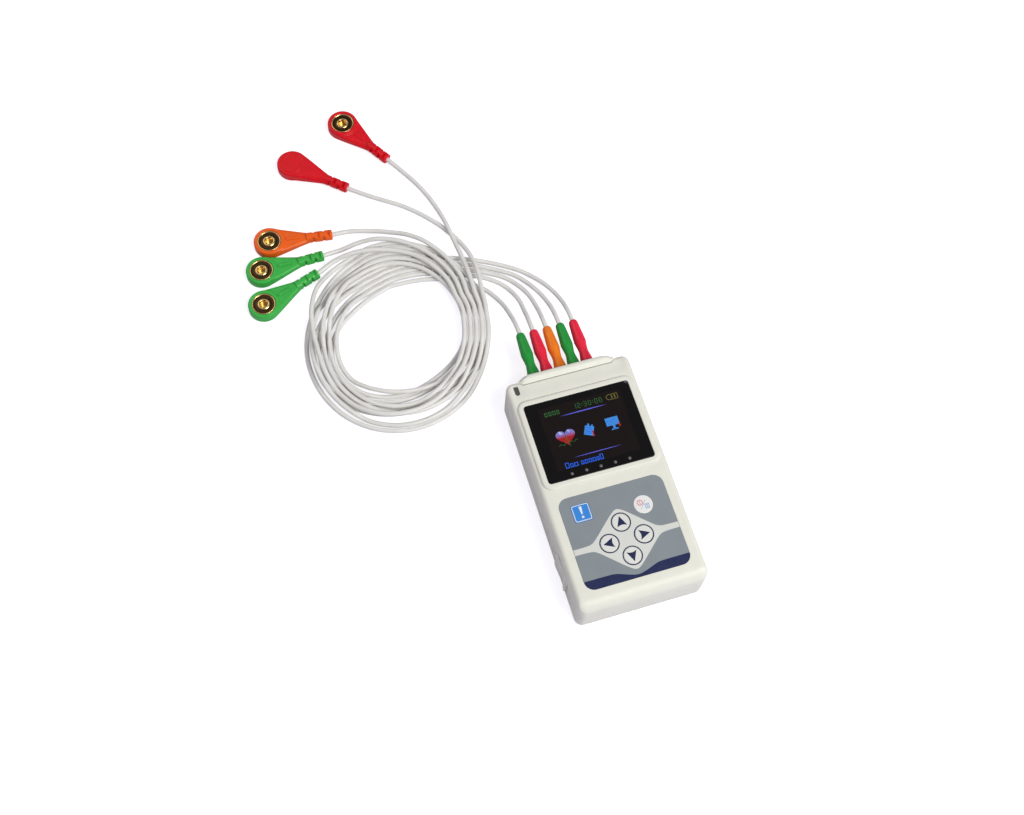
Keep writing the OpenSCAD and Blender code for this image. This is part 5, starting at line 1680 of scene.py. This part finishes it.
@dataclass
class Display:
    """Window with what its screen shows, and the row of small lights under it.

    Attributes:
        case: The case that it sits in.
        top_z: Height of the window's face.
        digits: Figures of the clock.
        light_pitch: Distance between the small lights.
        lights_y: Where their row lies along Y.
    """

    case: Case
    top_z: float = 25.9
    digits: str = "123000"
    light_pitch: float = 7.15
    lights_y: float = 4.8

    def window(self) -> None:
        """Glossy black window with a ground edge, and a painted glint at its upper right corner."""
        skin = Skin()
        low = self.case.window_z
        edge = ((0.0, low), (0.0, 25.72), (-0.05, 25.82), (-0.14, 25.88), (-0.3, self.top_z))
        skin.grid(np.stack([at_height(self.case.window_loop(g), z) for g, z in edge]))
        skin.flat([self.case.window_loop(-0.3)], self.top_z)
        skin.flat([self.case.window_loop(0.0)], low, up=False)
        skin.piece("display_window_glass", [GLASS], slot="window", replaces=["display_window"])
        # Painted reflection: a thin crescent of bright metal on the glass where light glints off the window's
        # corner
        glint = Skin()
        crescent = np.array([[24.1, 43.3], [25.0, 43.45], [25.5, 43.0], [25.75, 41.9], [25.2, 42.55], [24.7, 43.0]])
        glint.slab([crescent], self.top_z - 0.01, self.top_z + 0.03)
        glint.piece("window_painted_glint", [PAINTED_GLINT], weighted=False)

    def sheet(self, name: str, loops: Sequence[Sequence[Array]], finish: Finish, level: int = 1) -> None:
        """Lights up flat areas of the screen in one colour.

        Args:
            name: What they show.
            loops: Outline and holes of each area.
            finish: Their finish.
            level: How many thin layers they stand over the dark field.
        """
        skin = Skin()
        for group in loops:
            skin.slab(list(group), self.top_z - 0.02, self.top_z + 0.012 * level + 0.006)
        skin.piece(f"screen_{name}", [finish], weighted=False)

    @staticmethod
    def bar(x0: float, y0: float, x1: float, y1: float) -> Array:
        """Upright rectangle from its lower left to its upper right corner."""
        return np.array([[x0, y0], [x1, y0], [x1, y1], [x0, y1]])

    def figure(self, digit: str, x: float, y: float) -> list[list[Array]]:
        """Seven-stroke figure; each stroke is a bar.

        Args:
            digit: The figure.
            x: Its left side.
            y: Its foot.

        Returns:
            Outline of each lit stroke.
        """
        w, h, t = 1.5, 2.7, 0.34
        strokes = {"a": self.bar(0, h - t, w, h), "b": self.bar(w - t, h / 2, w, h),
                   "c": self.bar(w - t, 0, w, h / 2), "d": self.bar(0, 0, w, t), "e": self.bar(0, 0, t, h / 2),
                   "f": self.bar(0, h / 2, t, h), "g": self.bar(0, h / 2 - t / 2, w, h / 2 + t / 2)}
        lit = {"0": "abcdef", "1": "bc", "2": "abged", "3": "abgcd"}[digit]
        return [[strokes[s] + np.array([x, y])] for s in lit]

    def clock(self) -> None:
        """Six figures in pairs with two dots between the pairs."""
        start, foot, pitch, gap, dot = -3.3, 36.0, 2.15, 1.15, 0.4
        areas: list[list[Array]] = []
        for i, digit in enumerate(self.digits):
            areas += self.figure(digit, start + pitch * i + gap * (i // 2), foot)
        for pair in (1, 2):
            x = start + 2 * pitch * pair + gap * (pair - 1) + 0.1
            areas += [[self.bar(x, y, x + dot, y + dot)] for y in (foot + 0.7, foot + 1.7)]
        self.sheet("clock", areas, SCREEN_GREEN)

    def words(self) -> None:
        """Rows of plain blocks where a screen has words."""
        widths = np.array([1.5, 1.4, 1.6, 1.4])
        starts = -17.8 + np.concatenate([[0.0], np.cumsum(widths + 0.5)[:-1]])
        self.sheet("label", [[self.bar(a, 35.7, a + w, 37.9), self.bar(a + 0.4, 36.2, a + w - 0.4, 37.4)]
                             for a, w in zip(starts, widths)], SCREEN_GREEN)
        widths = np.array([1.9, 1.5, 1.9, 1.4, 1.5, 1.5, 1.6, 1.2, 1.6])
        gaps = np.array([0.45, 0.45, 1.5, 0.45, 0.45, 0.45, 0.45, 0.45, 0.45])
        starts = -16.2 + np.concatenate([[0.0], np.cumsum(widths + gaps)[:-1]])
        tall = np.array([2.8, 2.0, 2.0, 2.0, 2.0, 2.0, 2.0, 2.0, 2.8])
        foot, stroke = 7.9, 0.34
        self.sheet("line", [[self.bar(a, foot, a + w, foot + h),
                             self.bar(a + stroke, foot + stroke, a + w - stroke, foot + h - stroke)]
                            for a, w, h in zip(starts, widths, tall)], SCREEN_TEXT)

    def battery(self) -> None:
        """Battery sign: a case with a rounded left end and two bars."""
        place = np.array([13.3, 35.9])
        outline = np.array([[1.3, 0.0], [6.0, 0.0], [6.0, 3.0], [1.3, 3.0], [0.3, 2.3], [0.0, 1.5], [0.3, 0.7]])
        inner = [[1.45, 0.32], [5.68, 0.32], [5.68, 2.68], [1.45, 2.68], [0.6, 2.05], [0.36, 1.5], [0.6, 0.95]]
        areas = [[outline + place, np.array(inner) + place]]
        areas += [[self.bar(x, 0.6, x + 0.65, 2.4) + place] for x in (2.7, 4.15)]
        self.sheet("battery", areas, SCREEN_OLIVE)

    def rules(self) -> None:
        """Two lines across the screen that taper to both ends: half their width falls with x squared."""
        areas = []
        for y, half in ((34.3, 0.26), (12.4, 0.2)):
            x = np.linspace(-10.5, 12.5, 25)
            rise = half * (1 - ((x - 1.0) / 11.6) ** 2) + 0.015
            areas.append([np.concatenate([np.stack([x, y - rise], -1), np.stack([x, y + rise], -1)[::-1]])])
        self.sheet("rules", areas, SCREEN_LINE)

    def heart(self) -> None:
        """Heart by the usual curve of sines and cosines, with a pulse line across it."""
        t = np.linspace(0, 2 * math.pi, 72, endpoint=False)
        x = 16 * np.sin(t) ** 3
        y = 13 * np.cos(t) - 5 * np.cos(2 * t) - 2 * np.cos(3 * t) - np.cos(4 * t)
        loop = np.stack([x * 0.295, y * 0.275], -1)[::-1] + np.array([-11.3, 23.6])
        self.sheet("heart", [[loop]], SCREEN_HEART)
        # A glint is an ellipse, leaning as a triangle of sides 3, 4 and 5 does
        shine = np.stack([0.75 * np.cos(t), 1.25 * np.sin(t)], -1) @ np.array([[0.8, 0.6], [-0.6, 0.8]])
        glints = [[shine * 0.8 + np.array([-13.4, 25.9])], [shine * 0.55 + np.array([-9.4, 26.2])]]
        self.sheet("heart_shine", glints, SCREEN_SHINE, 2)
        path = np.array([[-15.9, 19.6], [-14.6, 20.3], [-13.4, 19.2], [-12.2, 20.6], [-11.4, 24.9], [-10.6, 18.2],
                         [-9.6, 20.9], [-8.2, 20.0], [-7.0, 21.1], [-6.2, 20.7]])
        way = np.gradient(path, axis=0)
        side = np.stack([-way[:, 1], way[:, 0]], -1) / np.linalg.norm(way, axis=1, keepdims=True) * 0.16
        self.sheet("pulse", [[np.concatenate([path - side, (path + side)[::-1]])]], SCREEN_GREEN, 3)

    def signs(self) -> None:
        """Two plain signs of a menu: a stack of pages with a pen, and a picture card on a stand."""
        lean, place = -24, np.array([0.6, 23.6])
        pages = [self.bar(-2.5, -2.6, 1.9, 2.2), self.bar(-1.5, 2.2, -0.6, 3.3), self.bar(0.4, 2.2, 1.2, 3.0)]
        self.sheet("pages", [[turned(page, lean) + place] for page in pages], SCREEN_BLUE)
        rules = [self.bar(-1.9, y, 1.3, y + 0.28) for y in (-1.8, -0.8, 0.2, 1.2)]
        self.sheet("page_rules", [[turned(rule, lean) + place] for rule in rules], SCREEN_TEXT, 2)
        pen = np.array([[2.1, -2.9], [2.7, -2.5], [1.6, 0.2], [1.0, -0.1]])
        self.sheet("pen", [[turned(pen, lean) + place]], SCREEN_RED, 3)
        place = np.array([12.4, 24.6])
        card = [self.bar(-3.3, -1.6, 3.1, 2.6), self.bar(-0.5, -3.6, 0.7, -1.6), self.bar(-1.6, -3.9, 1.9, -3.3)]
        self.sheet("card", [[p + place] for p in card], SCREEN_BLUE)
        x = np.linspace(-2.6, 2.4, 21)
        wave = 0.6 + 0.85 * np.sin(x * 2.6) * np.exp(-0.12 * x * x)
        band = np.concatenate([np.stack([x, wave - 0.14], -1), np.stack([x, wave + 0.14], -1)[::-1]]) + place
        self.sheet("card_wave", [[band]], SCREEN_TEXT, 2)
        self.sheet("card_flag", [[self.bar(2.5, -2.9, 3.3, -0.9) + place]], SCREEN_RED, 2)

    def lights(self) -> None:
        """Five small domes in dark dimples under the screen."""
        z = self.top_z
        dimple = [[0.0, z - 0.2], [0.88, z - 0.2], [0.88, z + 0.03], [0.8, z + 0.05]]
        dome = [[0.68, z + 0.03], [0.6, z + 0.06], [0.46, z + 0.13], [0.24, z + 0.17], [0.0, z + 0.18]]
        dark = np.repeat([1, 0], [len(dimple), len(dome) - 1])
        for i in range(5):
            skin = Skin()
            skin.lathe(np.array([*dimple, *dome]), 28, dark)
            skin.moved(np.eye(3), ((i - 2) * self.light_pitch, self.lights_y, 0.0))
            skin.piece(f"light_{i + 1}_dome", [LIGHT_GUIDE, BLACK], slot="light_guide")

    def build(self) -> None:
        """Makes the window and all that shows in it."""
        self.window()
        self.sheet("field", [[rounded_loop(41.0, 32.8, 0.3, (0.2, 24.0))[0]]], SCREEN_DARK, 0)
        self.clock()
        self.words()
        self.battery()
        self.rules()
        self.heart()
        self.signs()
        self.lights()


# Inside


@dataclass
class Inside:
    """What the case holds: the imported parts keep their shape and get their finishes.

    Attributes:
        finishes: Finish of each part.
    """

    finishes: tuple[tuple[str, Finish], ...] = (
        ("display_panel", PANEL), ("display_frame", STEEL), ("key_switches", BLACK), ("main_board", BOARD),
        ("board_chips", BLACK), ("status_lights", LIGHT_GUIDE), ("socket_block", SOCKET), ("socket_pins", GOLD),
        ("battery_cells", CELL), ("battery_springs", STEEL), ("battery_plates", STEEL), ("port_cover_pin", STEEL),
        ("usb_socket", STEEL), ("memory_card", BLACK), ("card_holder", STEEL), ("buzzer", BLACK),
        ("case_screws", STEEL), ("board_screws", STEEL), ("plug_contacts", GOLD))

    def build(self) -> None:
        """Gives each part its finish in its own slots."""
        for node, finish in self.finishes:
            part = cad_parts[node]
            for slot in part.material_slots:
                slot.material = dressed(finish)
            LOG.info("%s: %s", node, finish.name)


def main() -> None:
    """Builds the view and the object, and reports each piece."""
    logging.basicConfig(level=logging.INFO, format="%(message)s")
    Studio().build()
    Leads().build()
    case = Case()
    keypad = Keypad(case)
    keys = keypad.keys()
    case.build(keys)
    keypad.build(keys)
    Display(case).build()
    Inside().build()


if __name__ == "__main__":
    main()
